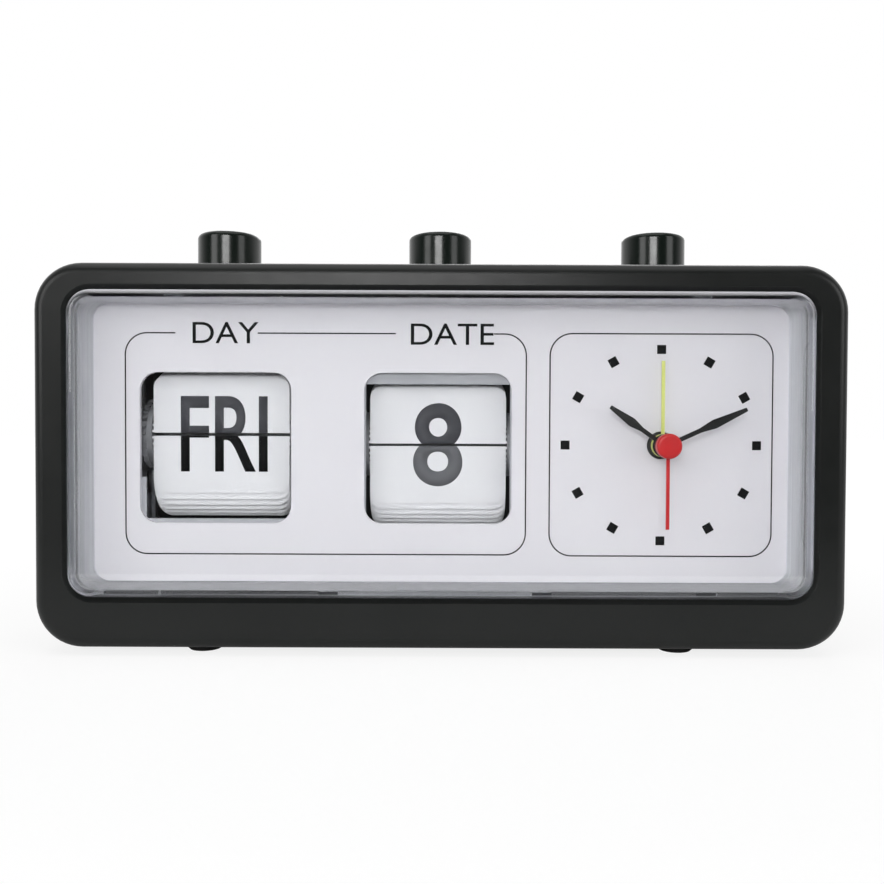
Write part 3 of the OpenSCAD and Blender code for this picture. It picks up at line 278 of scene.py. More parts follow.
# finishes: colours are as seen (0 to 255), sizes of grain and patches are per metre, bump is in metres
finishes = {
    "caseBlack": {"dark": (15, 17, 16), "light": (22, 24, 23), "rough": (0.24, 0.33), "grain": 3200,
                  "patch": 28, "bump": 3e-5, "specular": 0.36, "smudge": 0.10},
    "buttonGloss": {"dark": (10, 18, 14), "light": (16, 25, 20), "rough": (0.12, 0.20), "grain": 900,
                    "patch": 60, "bump": 4e-6, "specular": 0.3, "coat": 0.12, "smudge": 0.12},
    "dialPlate": {"dark": (226, 222, 228), "light": (231, 228, 233), "rough": (0.42, 0.55),
                  "grain": 2400, "patch": 22, "bump": 8e-6, "specular": 0.4, "smudge": 0.05},
    "leafSheet": {"dark": (228, 226, 231), "light": (236, 235, 238), "rough": (0.38, 0.5),
                  "grain": 1800, "patch": 40, "bump": 6e-6, "specular": 0.4, "smudge": 0.05},
    "footRubber": {"dark": (22, 22, 22), "light": (33, 33, 32), "rough": (0.72, 0.9), "grain": 4200,
                   "patch": 120, "bump": 5e-5, "specular": 0.3, "smudge": 0.15},
    "zincSteel": {"dark": (164, 166, 170), "light": (196, 198, 202), "rough": (0.24, 0.42),
                  "grain": 1500, "patch": 160, "bump": 5e-6, "metallic": 1.0, "stretch": 14,
                  "smudge": 0.08},
    "turnedBrass": {"dark": (176, 140, 72), "light": (206, 172, 98), "rough": (0.22, 0.38),
                    "grain": 1800, "patch": 140, "bump": 5e-6, "metallic": 1.0, "stretch": 8,
                    "smudge": 0.08},
    "innerPlastic": {"dark": (40, 40, 41), "light": (54, 54, 55), "rough": (0.45, 0.62), "grain": 2600,
                     "patch": 60, "bump": 2.5e-5, "specular": 0.4, "smudge": 0.1},
    "drumGrey": {"dark": (118, 118, 122), "light": (140, 140, 144), "rough": (0.45, 0.6),
                 "grain": 2400, "patch": 60, "bump": 1.5e-5, "specular": 0.4, "smudge": 0.08},
    # painted shade: the window cards are grey to stand for shadow behind the dial
    "cardShadeGrey": {"dark": (168, 168, 173), "light": (180, 180, 185), "rough": (0.55, 0.7),
                 "grain": 2400, "patch": 40, "bump": 8e-6, "specular": 0.3, "smudge": 0.05},
    "gearNylon": {"dark": (204, 202, 190), "light": (222, 220, 210), "rough": (0.42, 0.55),
                  "grain": 1600, "patch": 120, "bump": 1e-5, "specular": 0.4, "smudge": 0.08},
    "handBlack": {"dark": (12, 12, 13), "light": (22, 22, 23), "rough": (0.3, 0.42), "grain": 3600,
                  "patch": 150, "bump": 6e-6, "specular": 0.4, "smudge": 0.06},
    "handRed": {"dark": (184, 18, 22), "light": (200, 30, 34), "rough": (0.26, 0.36), "grain": 3000,
                "patch": 180, "bump": 6e-6, "specular": 0.45, "smudge": 0.05},
    "handYellow": {"dark": (208, 214, 112), "light": (222, 226, 140), "rough": (0.4, 0.5),
                   "grain": 3000, "patch": 150, "bump": 6e-6, "specular": 0.35, "smudge": 0.05},
    "cellWrap": {"dark": (44, 45, 50), "light": (62, 63, 69), "rough": (0.22, 0.34), "grain": 1200,
                 "patch": 60, "bump": 8e-6, "specular": 0.5, "coat": 0.3, "smudge": 0.1},
    "coilCopper": {"dark": (150, 78, 40), "light": (190, 108, 60), "rough": (0.25, 0.4), "grain": 4000,
                   "patch": 300, "bump": 5e-6, "metallic": 1.0, "smudge": 0.05},
    "boardGreen": {"dark": (20, 84, 46), "light": (32, 106, 60), "rough": (0.3, 0.45), "grain": 2200,
                   "patch": 200, "bump": 8e-6, "specular": 0.45, "smudge": 0.08},
    "leadRed": {"dark": (136, 26, 24), "light": (160, 36, 32), "rough": (0.4, 0.52), "grain": 2600,
                "patch": 120, "bump": 1e-5, "specular": 0.4, "smudge": 0.08},
    "inkBlack": {"dark": (8, 8, 9), "light": (16, 16, 17), "rough": (0.6, 0.75), "grain": 2600,
                 "patch": 160, "bump": 3e-6, "specular": 0.12, "smudge": 0.06},
    # lighter copies of the black ink for the leaf words: painted reflection
    "inkPalePaintedReflection": {"dark": (92, 92, 96), "light": (116, 116, 120), "rough": (0.55, 0.7), "grain": 2600,
                "patch": 160, "bump": 3e-6, "specular": 0.15, "smudge": 0.06},
    "inkGreyPaintedReflection": {"dark": (62, 62, 67), "light": (88, 88, 93), "rough": (0.55, 0.7), "grain": 2600,
                "patch": 160, "bump": 3e-6, "specular": 0.15, "smudge": 0.06},
}

# shared by every finish; the sockets of a colour mix go by number
finishBase = {"coatRough": 0.06, "bumpStrength": 0.5, "darkInput": 6, "lightInput": 7, "mixOutput": 2}


def makeFinish(name, look):
    material = bpy.data.materials.new(name)
    material.use_nodes = True
    tree = material.node_tree
    shader = tree.nodes["Principled BSDF"]
    shader.inputs["Metallic"].default_value = look.get("metallic", 0.0)
    shader.inputs["Specular IOR Level"].default_value = look.get("specular", 0.5)
    shader.inputs["Coat Weight"].default_value = look.get("coat", 0.0)
    shader.inputs["Coat Roughness"].default_value = finishBase["coatRough"]
    grain = addNode(tree, "ShaderNodeGroup", node_tree=grainGroup)
    grain.inputs["Grain"].default_value = look["grain"]
    grain.inputs["Patch"].default_value = look["patch"]
    grain.inputs["Stretch"].default_value = look.get("stretch", 1.0)
    smudge = addNode(tree, "ShaderNodeGroup", node_tree=smudgeGroup)
    tone = addNode(tree, "ShaderNodeMix", data_type="RGBA")
    tone.inputs[finishBase["darkInput"]].default_value = linear(look["dark"])
    tone.inputs[finishBase["lightInput"]].default_value = linear(look["light"])
    link(tree, grain.outputs["Patch"], tone.inputs[0])
    link(tree, tone.outputs[finishBase["mixOutput"]], shader.inputs["Base Color"])
    sheen = ramp(tree, grain.outputs["Grain"], (0, 1), look["rough"])
    handled = mathNode(tree, "MULTIPLY", smudge.outputs["Mask"], look["smudge"])
    link(tree, mathNode(tree, "ADD", sheen, handled), shader.inputs["Roughness"])
    bump = addNode(tree, "ShaderNodeBump")
    bump.inputs["Strength"].default_value = finishBase["bumpStrength"]
    bump.inputs["Distance"].default_value = look["bump"]
    link(tree, grain.outputs["Grain"], bump.inputs["Height"])
    link(tree, bump.outputs[0], shader.inputs["Normal"])
    return material


# clear moulded lens: glass to the eye, with painted light and shade mixed into its walls, and it lets lamp light
# through to the dial; edges are in millimetres
lensSettings = {
    "tint": (250, 251, 251), "ior": 1.49, "rough": (0.0, 0.02), "smudge": 24, "through": (246, 248, 248),
    # painted light and shade for the walls: a pale glow, a dark ledge shade low down and a highlight along the top
    # rim
    "walls": {"colour": (238, 238, 243), "paintedLedgeShade": (92, 92, 98), "amount": 0.62, "depth": 0.35,
              "stretch": (2, 240, 2), "streaks": 4, "sideways": (0.15, 0.8), "rim": (0.6, 0.97),
              "front": 0.05, "seat": 2.5, "top": 0.6, "topEdge": (8, 3), "lowEdge": (3, 7)},
}


def plainDiffuse(tree, colour):
    node = addNode(tree, "ShaderNodeBsdfDiffuse")
    node.inputs["Color"].default_value = linear(colour)
    return node.outputs[0]


def makeLensFinish(look):
    material = bpy.data.materials.new("lensClear")
    material.use_nodes = True
    tree = material.node_tree
    shader = tree.nodes["Principled BSDF"]
    shader.inputs["Base Color"].default_value = linear(look["tint"])
    shader.inputs["Transmission Weight"].default_value = 1.0
    shader.inputs["IOR"].default_value = look["ior"]
    smudge = addNode(tree, "ShaderNodeGroup", node_tree=smudgeGroup)
    smudge.inputs["Size"].default_value = look["smudge"]
    film = ramp(tree, smudge.outputs["Mask"], (0, 1), look["rough"])
    link(tree, film, shader.inputs["Roughness"])
    walls = look["walls"]
    lensLow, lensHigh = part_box("lens")
    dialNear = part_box("dial_plate")[0].y
    coords = addNode(tree, "ShaderNodeTexCoord")
    facing = addNode(tree, "ShaderNodeSeparateXYZ")
    link(tree, coords.outputs["Normal"], facing.inputs[0])
    frontal = mathNode(tree, "ABSOLUTE", facing.outputs["Y"], 0.0)
    place = addNode(tree, "ShaderNodeSeparateXYZ")
    link(tree, coords.outputs["Object"], place.inputs[0])
    # painted light: the side walls are mixed with a pale diffuse, as if they piped light from the dial, strongest
    # towards the dial and with faint draw lines in it
    side = ramp(tree, frontal, walls["sideways"], (1, 0))
    drawn = addNode(tree, "ShaderNodeMapping")
    drawn.inputs["Scale"].default_value = walls["stretch"]
    link(tree, coords.outputs["Object"], drawn.inputs["Vector"])
    lines = addNode(tree, "ShaderNodeTexNoise")
    lines.inputs["Scale"].default_value = walls["streaks"]
    link(tree, drawn.outputs[0], lines.inputs["Vector"])
    faintest, fullest = (walls["amount"] * (1 + way * walls["depth"]) for way in (-1, 1))
    faint = ramp(tree, lines.outputs["Fac"], (0, 1), (faintest, fullest))
    deeper = ramp(tree, place.outputs["Y"], (lensLow.y, dialNear), (walls["front"], 1))
    # painted shade: towards the bottom the walls take a dark grey diffuse instead, standing for the dark case
    # ledge that the lens lies on
    lowFrom, lowTo = (lensLow.z + edge * mm for edge in walls["lowEdge"])
    lower = ramp(tree, place.outputs["Z"], (lowFrom, lowTo), (1, 0))
    tone = mixShaders(tree, lower, plainDiffuse(tree, walls["colour"]), plainDiffuse(tree, walls["paintedLedgeShade"]))
    shown = mathNode(tree, "MULTIPLY", side, faint)
    shown = mathNode(tree, "MULTIPLY", shown, mathNode(tree, "MAXIMUM", deeper, lower))
    # painted highlight: the upper rim is mixed with the pale diffuse towards its top
    topFrom, topTo = (lensHigh.z - edge * mm for edge in walls["topEdge"])
    topHighlightBand = ramp(tree, place.outputs["Z"], (topFrom, topTo), (0, walls["top"]))
    paintedTopHighlight = mathNode(tree, "MULTIPLY", ramp(tree, frontal, walls["rim"], (1, 0)), topHighlightBand)
    shown = mathNode(tree, "MAXIMUM", shown, paintedTopHighlight)
    # painted light: the flange seated on the dial plate is mixed with the pale diffuse, standing for the dial's
    # white seen through it
    seat = ramp(tree, place.outputs["Y"], (dialNear - walls["seat"] * mm, dialNear), (0, 1))
    glassWithPaintedLight = mixShaders(tree, mathNode(tree, "MAXIMUM", shown, seat), shader.outputs[0], tone)
    passing = addNode(tree, "ShaderNodeBsdfTransparent")
    passing.inputs["Color"].default_value = linear(look["through"])
    rays = addNode(tree, "ShaderNodeLightPath")
    seen = mixShaders(tree, rays.outputs["Is Shadow Ray"], glassWithPaintedLight, passing.outputs[0])
    link(tree, seen, tree.nodes["Material Output"].inputs["Surface"])
    return material


materials = {name: makeFinish(name, look) for name, look in finishes.items()}
materials["lensClear"] = makeLensFinish(lensSettings)
slotFinish = {
    "case_black": "caseBlack", "lens_clear": "lensClear", "dial_white": "dialPlate",
    "leaf_white": "leafSheet", "rubber_black": "footRubber", "steel": "zincSteel", "brass": "turnedBrass",
    "dark_plastic": "innerPlastic", "button_dark": "buttonGloss", "gear_plastic": "gearNylon",
    "hand_black": "handBlack", "hand_red": "handRed", "hand_yellow": "handYellow", "cell_wrap": "cellWrap",
    "copper": "coilCopper", "board_green": "boardGreen", "lead_red": "leadRed",
}
# the leaf drums are a paler grade of the inner plastic
nodeFinish = {"day_drum": "drumGrey", "date_drum": "drumGrey"}
for part in frame["record"]["subparts"]:
    shown = nodes[part["node"]].data
    shown.materials.clear()
    shown.materials.append(materials[nodeFinish.get(part["node"], slotFinish[part["material_slot"]])])
print("finishes:", len(materials))


# what counts as one point, in metres, and as flat, in radians, and the steps along a letter's curve
meshLimits = {"weld": 1e-7, "flat": 0.001, "letterSteps": 10}


# pieces: a mesh at the origin that rides on a body
def addPiece(name, mesh, finish, body):
    piece = bpy.data.objects.new(name, mesh)
    scene.collection.objects.link(piece)
    mesh.materials.clear()
    mesh.materials.append(materials[finish])
    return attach(piece, body)


def flatToFront(mesh, x, y, z):
    # a drawing made flat in X and Y, with its thickness in Z, stands up facing -Y with its back at y
    mesh.transform(Matrix(((1, 0, 0, x), (0, 0, -1, y), (0, 1, 0, z), (0, 0, 0, 1))))
    mesh.update()
    return mesh


def thicken(mesh, depth):
    # gives a flat drawing its ink height and closes it
    bm = bmesh.new()
    bm.from_mesh(mesh)
    bmesh.ops.remove_doubles(bm, verts=bm.verts, dist=meshLimits["weld"])
    bmesh.ops.dissolve_limit(bm, angle_limit=meshLimits["flat"], verts=bm.verts, edges=bm.edges)
    made = bmesh.ops.extrude_face_region(bm, geom=bm.faces[:], use_keep_orig=True)
    moved = [v for v in made["geom"] if isinstance(v, bmesh.types.BMVert)]
    bmesh.ops.translate(bm, verts=moved, vec=(0, 0, depth))
    bmesh.ops.recalc_face_normals(bm, faces=bm.faces)
    bm.to_mesh(mesh)
    bm.free()
    return mesh


def cutKeep(mesh, level, above):
    # keeps the part of a standing drawing above or below a height, and closes the cut
    bm = bmesh.new()
    bm.from_mesh(mesh)
    bmesh.ops.triangulate(bm, faces=bm.faces)
    bmesh.ops.bisect_plane(bm, geom=bm.verts[:] + bm.edges[:] + bm.faces[:], dist=meshLimits["weld"],
                           plane_co=(0, 0, level), plane_no=(0, 0, 1),
                           clear_inner=above, clear_outer=not above)
    rim = [e for e in bm.edges if e.is_boundary]
    bmesh.ops.holes_fill(bm, edges=rim, sides=0)
    bmesh.ops.recalc_face_normals(bm, faces=bm.faces)
    kept = bpy.data.meshes.new(mesh.name)
    bm.to_mesh(kept)
    bm.free()
    return kept


def joinMeshes(name, parts):
    bm = bmesh.new()
    for part in parts:
        bm.from_mesh(part)
    mesh = bpy.data.meshes.new(name)
    bm.to_mesh(mesh)
    bm.free()
    return mesh


def letters(name, text, size, bold):
    # lettering in the built-in face, fitted to a width and height about its own middle
    curve = bpy.data.curves.new(name, "FONT")
    curve.body = text
    curve.offset = bold
    curve.resolution_u = meshLimits["letterSteps"]
    holder = bpy.data.objects.new(name, curve)
    scene.collection.objects.link(holder)
    graph = bpy.context.evaluated_depsgraph_get()
    mesh = bpy.data.meshes.new_from_object(holder.evaluated_get(graph))
    bpy.data.objects.remove(holder)
    xs = [v.co.x for v in mesh.vertices]
    ys = [v.co.y for v in mesh.vertices]
    sx, sy = size[0] * mm / (max(xs) - min(xs)), size[1] * mm / (max(ys) - min(ys))
    middle = Vector(((max(xs) + min(xs)) / 2, (max(ys) + min(ys)) / 2, 0))
    mesh.transform(Matrix.Diagonal((sx, sy, 1, 1)) @ Matrix.Translation(-middle))
    return mesh


# node trees for pieces that repeat or follow a path
def geometryTree(name, inputs):
    tree = bpy.data.node_groups.new(name, "GeometryNodeTree")
    tree.interface.new_socket("Geometry", in_out="INPUT", socket_type="NodeSocketGeometry")
    for label, kind, value in inputs:
        socket = tree.interface.new_socket(label, in_out="INPUT", socket_type=kind)
        if value is not None:
            socket.default_value = value
    tree.interface.new_socket("Geometry", in_out="OUTPUT", socket_type="NodeSocketGeometry")
    return tree, addNode(tree, "NodeGroupInput"), addNode(tree, "NodeGroupOutput")


def closeTree(tree, geometry, given, result):
    real = addNode(tree, "GeometryNodeRealizeInstances")
    paint = addNode(tree, "GeometryNodeSetMaterial")
    link(tree, geometry, real.inputs[0])
    link(tree, real.outputs[0], paint.inputs["Geometry"])
    link(tree, given.outputs["Finish"], paint.inputs["Material"])
    link(tree, paint.outputs[0], result.inputs[0])


def growMesh(name, data, tree, values):
    # runs a node tree on a start shape and returns the plain mesh
    holder = bpy.data.objects.new(name, data)
    scene.collection.objects.link(holder)
    modifier = holder.modifiers.new(name, "NODES")
    modifier.node_group = tree
    sockets = {s.name: s.identifier for s in tree.interface.items_tree if s.in_out == "INPUT"}
    for label, value in values.items():
        modifier[sockets[label]] = value
    graph = bpy.context.evaluated_depsgraph_get()
    mesh = bpy.data.meshes.new_from_object(holder.evaluated_get(graph))
    mesh.name = name
    holder.modifiers.clear()
    bpy.data.objects.remove(holder)
    bm = bmesh.new()
    bm.from_mesh(mesh)
    bmesh.ops.remove_doubles(bm, verts=bm.verts, dist=meshLimits["weld"])
    bmesh.ops.recalc_face_normals(bm, faces=bm.faces)
    bm.to_mesh(mesh)
    bm.free()
    return mesh


def makeLineTree():
    # a printed line: a flat band of ink along a drawn path
    inputs = [("Width", "NodeSocketFloat", 0.0003), ("Ink", "NodeSocketFloat", 0.00003),
              ("Finish", "NodeSocketMaterial", None)]
    tree, given, result = geometryTree("printedLine", inputs)
    path = addNode(tree, "GeometryNodeMeshToCurve")
    upright = addNode(tree, "GeometryNodeSetCurveNormal", mode="Z_UP")
    link(tree, given.outputs["Geometry"], path.inputs["Mesh"])
    link(tree, path.outputs[0], upright.inputs["Curve"])
    band = addNode(tree, "GeometryNodeCurvePrimitiveQuadrilateral")
    link(tree, given.outputs["Width"], band.inputs["Width"])
    link(tree, given.outputs["Ink"], band.inputs["Height"])
    sweep = addNode(tree, "GeometryNodeCurveToMesh")
    sweep.inputs["Fill Caps"].default_value = True
    link(tree, upright.outputs[0], sweep.inputs["Curve"])
    link(tree, band.outputs[0], sweep.inputs["Profile Curve"])
    closeTree(tree, sweep.outputs[0], given, result)
    return tree


def makeMarkerTree():
    # square hour marks round the dial, each turned to face the middle
    inputs = [("Count", "NodeSocketInt", 12), ("Radius", "NodeSocketFloat", 0.026),
              ("Size", "NodeSocketVector", (0.0025, 0.0025, 0.00003)), ("Finish", "NodeSocketMaterial", None)]
    tree, given, result = geometryTree("hourMarks", inputs)
    ring = addNode(tree, "GeometryNodeMeshCircle")
    link(tree, given.outputs["Count"], ring.inputs["Vertices"])
    link(tree, given.outputs["Radius"], ring.inputs["Radius"])
    mark = addNode(tree, "GeometryNodeMeshCube")
    link(tree, given.outputs["Size"], mark.inputs["Size"])
    place = addNode(tree, "GeometryNodeInputPosition")
    face = addNode(tree, "FunctionNodeAlignRotationToVector", axis="X")
    link(tree, place.outputs[0], face.inputs["Vector"])
    spread = addNode(tree, "GeometryNodeInstanceOnPoints")
    link(tree, ring.outputs[0], spread.inputs["Points"])
    link(tree, mark.outputs[0], spread.inputs["Instance"])
    link(tree, face.outputs[0], spread.inputs["Rotation"])
    closeTree(tree, spread.outputs[0], given, result)
    return tree


def makeSpringTree():
    # wound wire: a helix swept with a round section
    inputs = [("Turns", "NodeSocketFloat", 8), ("Radius", "NodeSocketFloat", 0.004),
              ("Length", "NodeSocketFloat", 0.01), ("Wire", "NodeSocketFloat", 0.0004),
              ("Steps", "NodeSocketInt", 24), ("Sides", "NodeSocketInt", 8),
              ("Finish", "NodeSocketMaterial", None)]
    tree, given, result = geometryTree("woundWire", inputs)
    helix = addNode(tree, "GeometryNodeCurveSpiral")
    link(tree, given.outputs["Steps"], helix.inputs["Resolution"])
    link(tree, given.outputs["Turns"], helix.inputs["Rotations"])
    link(tree, given.outputs["Radius"], helix.inputs["Start Radius"])
    link(tree, given.outputs["Radius"], helix.inputs["End Radius"])
    link(tree, given.outputs["Length"], helix.inputs["Height"])
    section = addNode(tree, "GeometryNodeCurvePrimitiveCircle")
    link(tree, given.outputs["Sides"], section.inputs["Resolution"])
    link(tree, given.outputs["Wire"], section.inputs["Radius"])
    sweep = addNode(tree, "GeometryNodeCurveToMesh")
    sweep.inputs["Fill Caps"].default_value = True
    link(tree, helix.outputs[0], sweep.inputs["Curve"])
    link(tree, section.outputs[0], sweep.inputs["Profile Curve"])
    smooth = addNode(tree, "GeometryNodeSetShadeSmooth")
    link(tree, sweep.outputs[0], smooth.inputs[0])
    closeTree(tree, smooth.outputs[0], given, result)
    return tree


def pathMesh(name, runs):
    # open or closed runs of points in millimetres, as edges for a printed line
    points, edges = [], []
    for run, closed in runs:
        start = len(points)
        points += [(x * mm, y * mm, 0) for x, y in run]
        edges += [(start + i, start + i + 1) for i in range(len(run) - 1)]
        if closed:
            edges.append((start + len(run) - 1, start))
    mesh = bpy.data.meshes.new(name)
    mesh.from_pydata(points, edges, [])
    return mesh


def arc(centre, radius, start, end, steps):
    turns = [math.radians(start + (end - start) * i / steps) for i in range(steps + 1)]
    return [(centre[0] + radius * math.cos(a), centre[1] + radius * math.sin(a)) for a in turns]


def roundedRun(width, height, r, x, y, steps):
    # a closed rectangle about x, y with round corners
    run = []
    for sx, sy, start in ((1, 1, 0), (-1, 1, 90), (-1, -1, 180), (1, -1, 270)):
        run += arc((x + sx * (width / 2 - r), y + sy * (height / 2 - r)), r, start, start + 90, steps)
    return [(run, True)]


lineTree = makeLineTree()
markerTree = makeMarkerTree()
springTree = makeSpringTree()
print("node trees ready")


# printing on the dial plate, in millimetres
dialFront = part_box("dial_plate")[0].y / mm
dialPrint = {
    "ink": 0.03, "line": 0.36, "cornerSteps": 14,
    "calendar": {"left": -87.6, "right": 23.6, "top": 86.7, "low": 25.3, "radius": 6.0,
                 "breaks": [(-73.7, -50.9), (-12.6, 14.6)]},
    "words": [{"text": "DAY", "at": (-59.8, 86.8), "size": (18.3, 5.9), "bold": 0.0},
              {"text": "DATE", "at": (3.1, 86.6), "size": (23.1, 5.9), "bold": 0.0}],
    "clock": {"half": 30.9, "radius": 6.2},
    "marks": {"radius": 26.6, "size": 2.5},
}


def calendarRuns(look, steps):
    # the frame line, open at the two words on its upper side
    left, right, top, low, r = (look[k] for k in ("left", "right", "top", "low", "radius"))
    (dayFrom, dayTo), (dateFrom, dateTo) = look["breaks"]
    around = [(dateTo, top)]
    for x, y, start, end in ((right - r, top - r, 90, 0), (right - r, low + r, 0, -90),
                             (left + r, low + r, 270, 180), (left + r, top - r, 180, 90)):
        around += arc((x, y), r, start, end, steps)
    return [(around + [(dayFrom, top)], False), ([(dayTo, top), (dateFrom, top)], False)]


def printDial(look):
    ink, y = look["ink"], dialFront
    hands = joints["minute_turn"]["pos_m"]
    values = {"Width": look["line"] * mm, "Ink": ink * mm, "Finish": materials["inkBlack"]}
    runs = calendarRuns(look["calendar"], look["cornerSteps"])
    runs += roundedRun(2 * look["clock"]["half"], 2 * look["clock"]["half"], look["clock"]["radius"],
                       hands[0] / mm, hands[2] / mm, look["cornerSteps"])
    lines = growMesh("dialLines", pathMesh("dialPaths", runs), lineTree, values)
    addPiece("dialLines", flatToFront(lines, 0, (y - ink / 2) * mm, 0), "inkBlack", "case")
    marks = look["marks"]
    values = {"Radius": marks["radius"] * mm, "Size": (marks["size"] * mm, marks["size"] * mm, ink * mm),
              "Finish": materials["inkBlack"]}
    squares = growMesh("hourMarks", bpy.data.meshes.new("hourMarks"), markerTree, values)
    addPiece("hourMarks", flatToFront(squares, hands[0], (y - ink / 2) * mm, hands[2]), "inkBlack", "case")
    words = []
    for word in look["words"]:
        flat = thicken(letters(word["text"], word["text"], word["size"], word["bold"]), ink * mm)
        words.append(flatToFront(flat, word["at"][0] * mm, y * mm, word["at"][1] * mm))
    addPiece("dialWords", joinMeshes("dialWords", words), "inkBlack", "case")


printDial(dialPrint)
print("dial printed")


# words on the flip leaves, in millimetres; the upper halves, and the date's lower half, take lighter copies of the
# black ink as painted reflection
leafPrint = {
    "ink": 0.02,
    "day": {"now": "FRI", "next": "SAT", "x": -61.4, "z": 58.65, "size": (24.6, 21.4), "bold": 0.012,
            "upper": "inkGreyPaintedReflection", "lower": "inkBlack"},
    "date": {"now": "8", "next": "9", "x": -0.9, "z": 55.8, "size": (14.0, 23.6), "bold": 0.02,
             "upper": "inkGreyPaintedReflection", "lower": "inkPalePaintedReflection"},
}


def turnedAbout(mesh, degrees, y, z):
    # turns a mesh about +X through a point of the row frame
    pivot = Vector((0, y, z))
    mesh.transform(Matrix.Translation(pivot) @ Matrix.Rotation(math.radians(degrees), 4, "X")
                   @ Matrix.Translation(-pivot))
    return mesh


def leafHalf(name, text, look, front, level, above):
    # the part of a printed word that stands above or below one edge, on a leaf front
    flat = thicken(letters(name, text, look["size"], look["bold"]), leafPrint["ink"] * mm)
    return cutKeep(flatToFront(flat, look["x"] * mm, front, look["z"] * mm), level, above)


def printLeaves(unit):
    look = leafPrint[unit]
    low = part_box(unit + "_flip_leaf")[0]
    fall, drum = joints[unit + "_leaf_fall"], joints[unit + "_drum_turn"]
    axisY, axisZ = drum["pos_m"][1], drum["pos_m"][2]
    pivotY, pivotZ = fall["pos_m"][1], fall["pos_m"][2]
    step = max(abs(v) for v in drum["range_deg"])
    front, upperEdge = low.y, low.z
    lowerEdge = 2 * axisZ - upperEdge
    leafBody, drumBody = unit + "_flip_leaf", unit + "_drum_group"
    shown = leafHalf(unit + "Upper", look["now"], look, front, upperEdge, True)
    addPiece(unit + "WordUpper", shown, look["upper"], leafBody)
    shown = leafHalf(unit + "Lower", look["now"], look, front, lowerEdge, False)
    addPiece(unit + "WordLower", shown, look["lower"], drumBody)
    # the back of the falling leaf carries the lower half of the next word
    fallen = leafHalf(unit + "NextLower", look["next"], look, front, lowerEdge, False)
    fallen.transform(Matrix.Translation((0, 0, pivotZ - (2 * axisZ - pivotZ))))
    fallen = turnedAbout(fallen, 180, pivotY, pivotZ)
    addPiece(unit + "NextLower", fallen, look["lower"], leafBody)
    # the leaf behind it carries the upper half, and comes forward with the drum
    behind = leafHalf(unit + "NextUpper", look["next"], look, front, upperEdge, True)
    behind = turnedAbout(behind, -step, axisY, axisZ)
    addPiece(unit + "NextUpper", behind, look["upper"], drumBody)


for unit in ("day", "date"):
    printLeaves(unit)
print("leaves printed")


# button return springs as wound wire
springs = {
    "turns": 7.5, "wire": 0.3,
    "joints": {"day_spring": "day_press", "date_spring": "date_press", "alarm_spring": "alarm_press"},
}


def windSpring(node, look):
    low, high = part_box(node)
    wire, length = look["wire"] * mm, high.z - low.z
    x, y = (low.x + high.x) / 2, (low.y + high.y) / 2
    values = {"Turns": look["turns"], "Radius": (high.x - low.x) / 2 - wire, "Length": length - 2 * wire,
              "Wire": wire, "Finish": materials["zincSteel"]}
    mesh = growMesh(node + "Wire", bpy.data.meshes.new(node), springTree, values)
    mesh.transform(Matrix.Translation((x, y, low.z + wire)))
    piece = addPiece(node + "Wire", mesh, "zincSteel", "case")
    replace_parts(piece, node)
    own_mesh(piece)


for node, joint in springs["joints"].items():
    windSpring(node, springs)
print("springs wound")


# case screws: one pan head with a cross recess, set at four places by a node tree
screwLook = {"headRadius": 2.42, "headHeight": 1.6, "rim": 0.9, "crown": {"inset": 0.75, "steps": 4},
             "shankRadius": 1.05, "thread": 0.18, "pitch": 0.5, "plain": 0.6,
             "point": {"length": 0.5, "ratio": 0.45},
             "recess": {"arm": 1.35, "half": 0.32, "depth": 0.8, "taper": 0.7}, "sides": 40}


def ring(bm, radius, z, sides):
    turns = [2 * math.pi * i / sides for i in range(sides)]
    return [bm.verts.new((radius * math.cos(a), radius * math.sin(a), z)) for a in turns]


def bridge(bm, first, second):
    count = len(first)
    for i in range(count):
        bm.faces.new((first[i], first[(i + 1) % count], second[(i + 1) % count], second[i]))


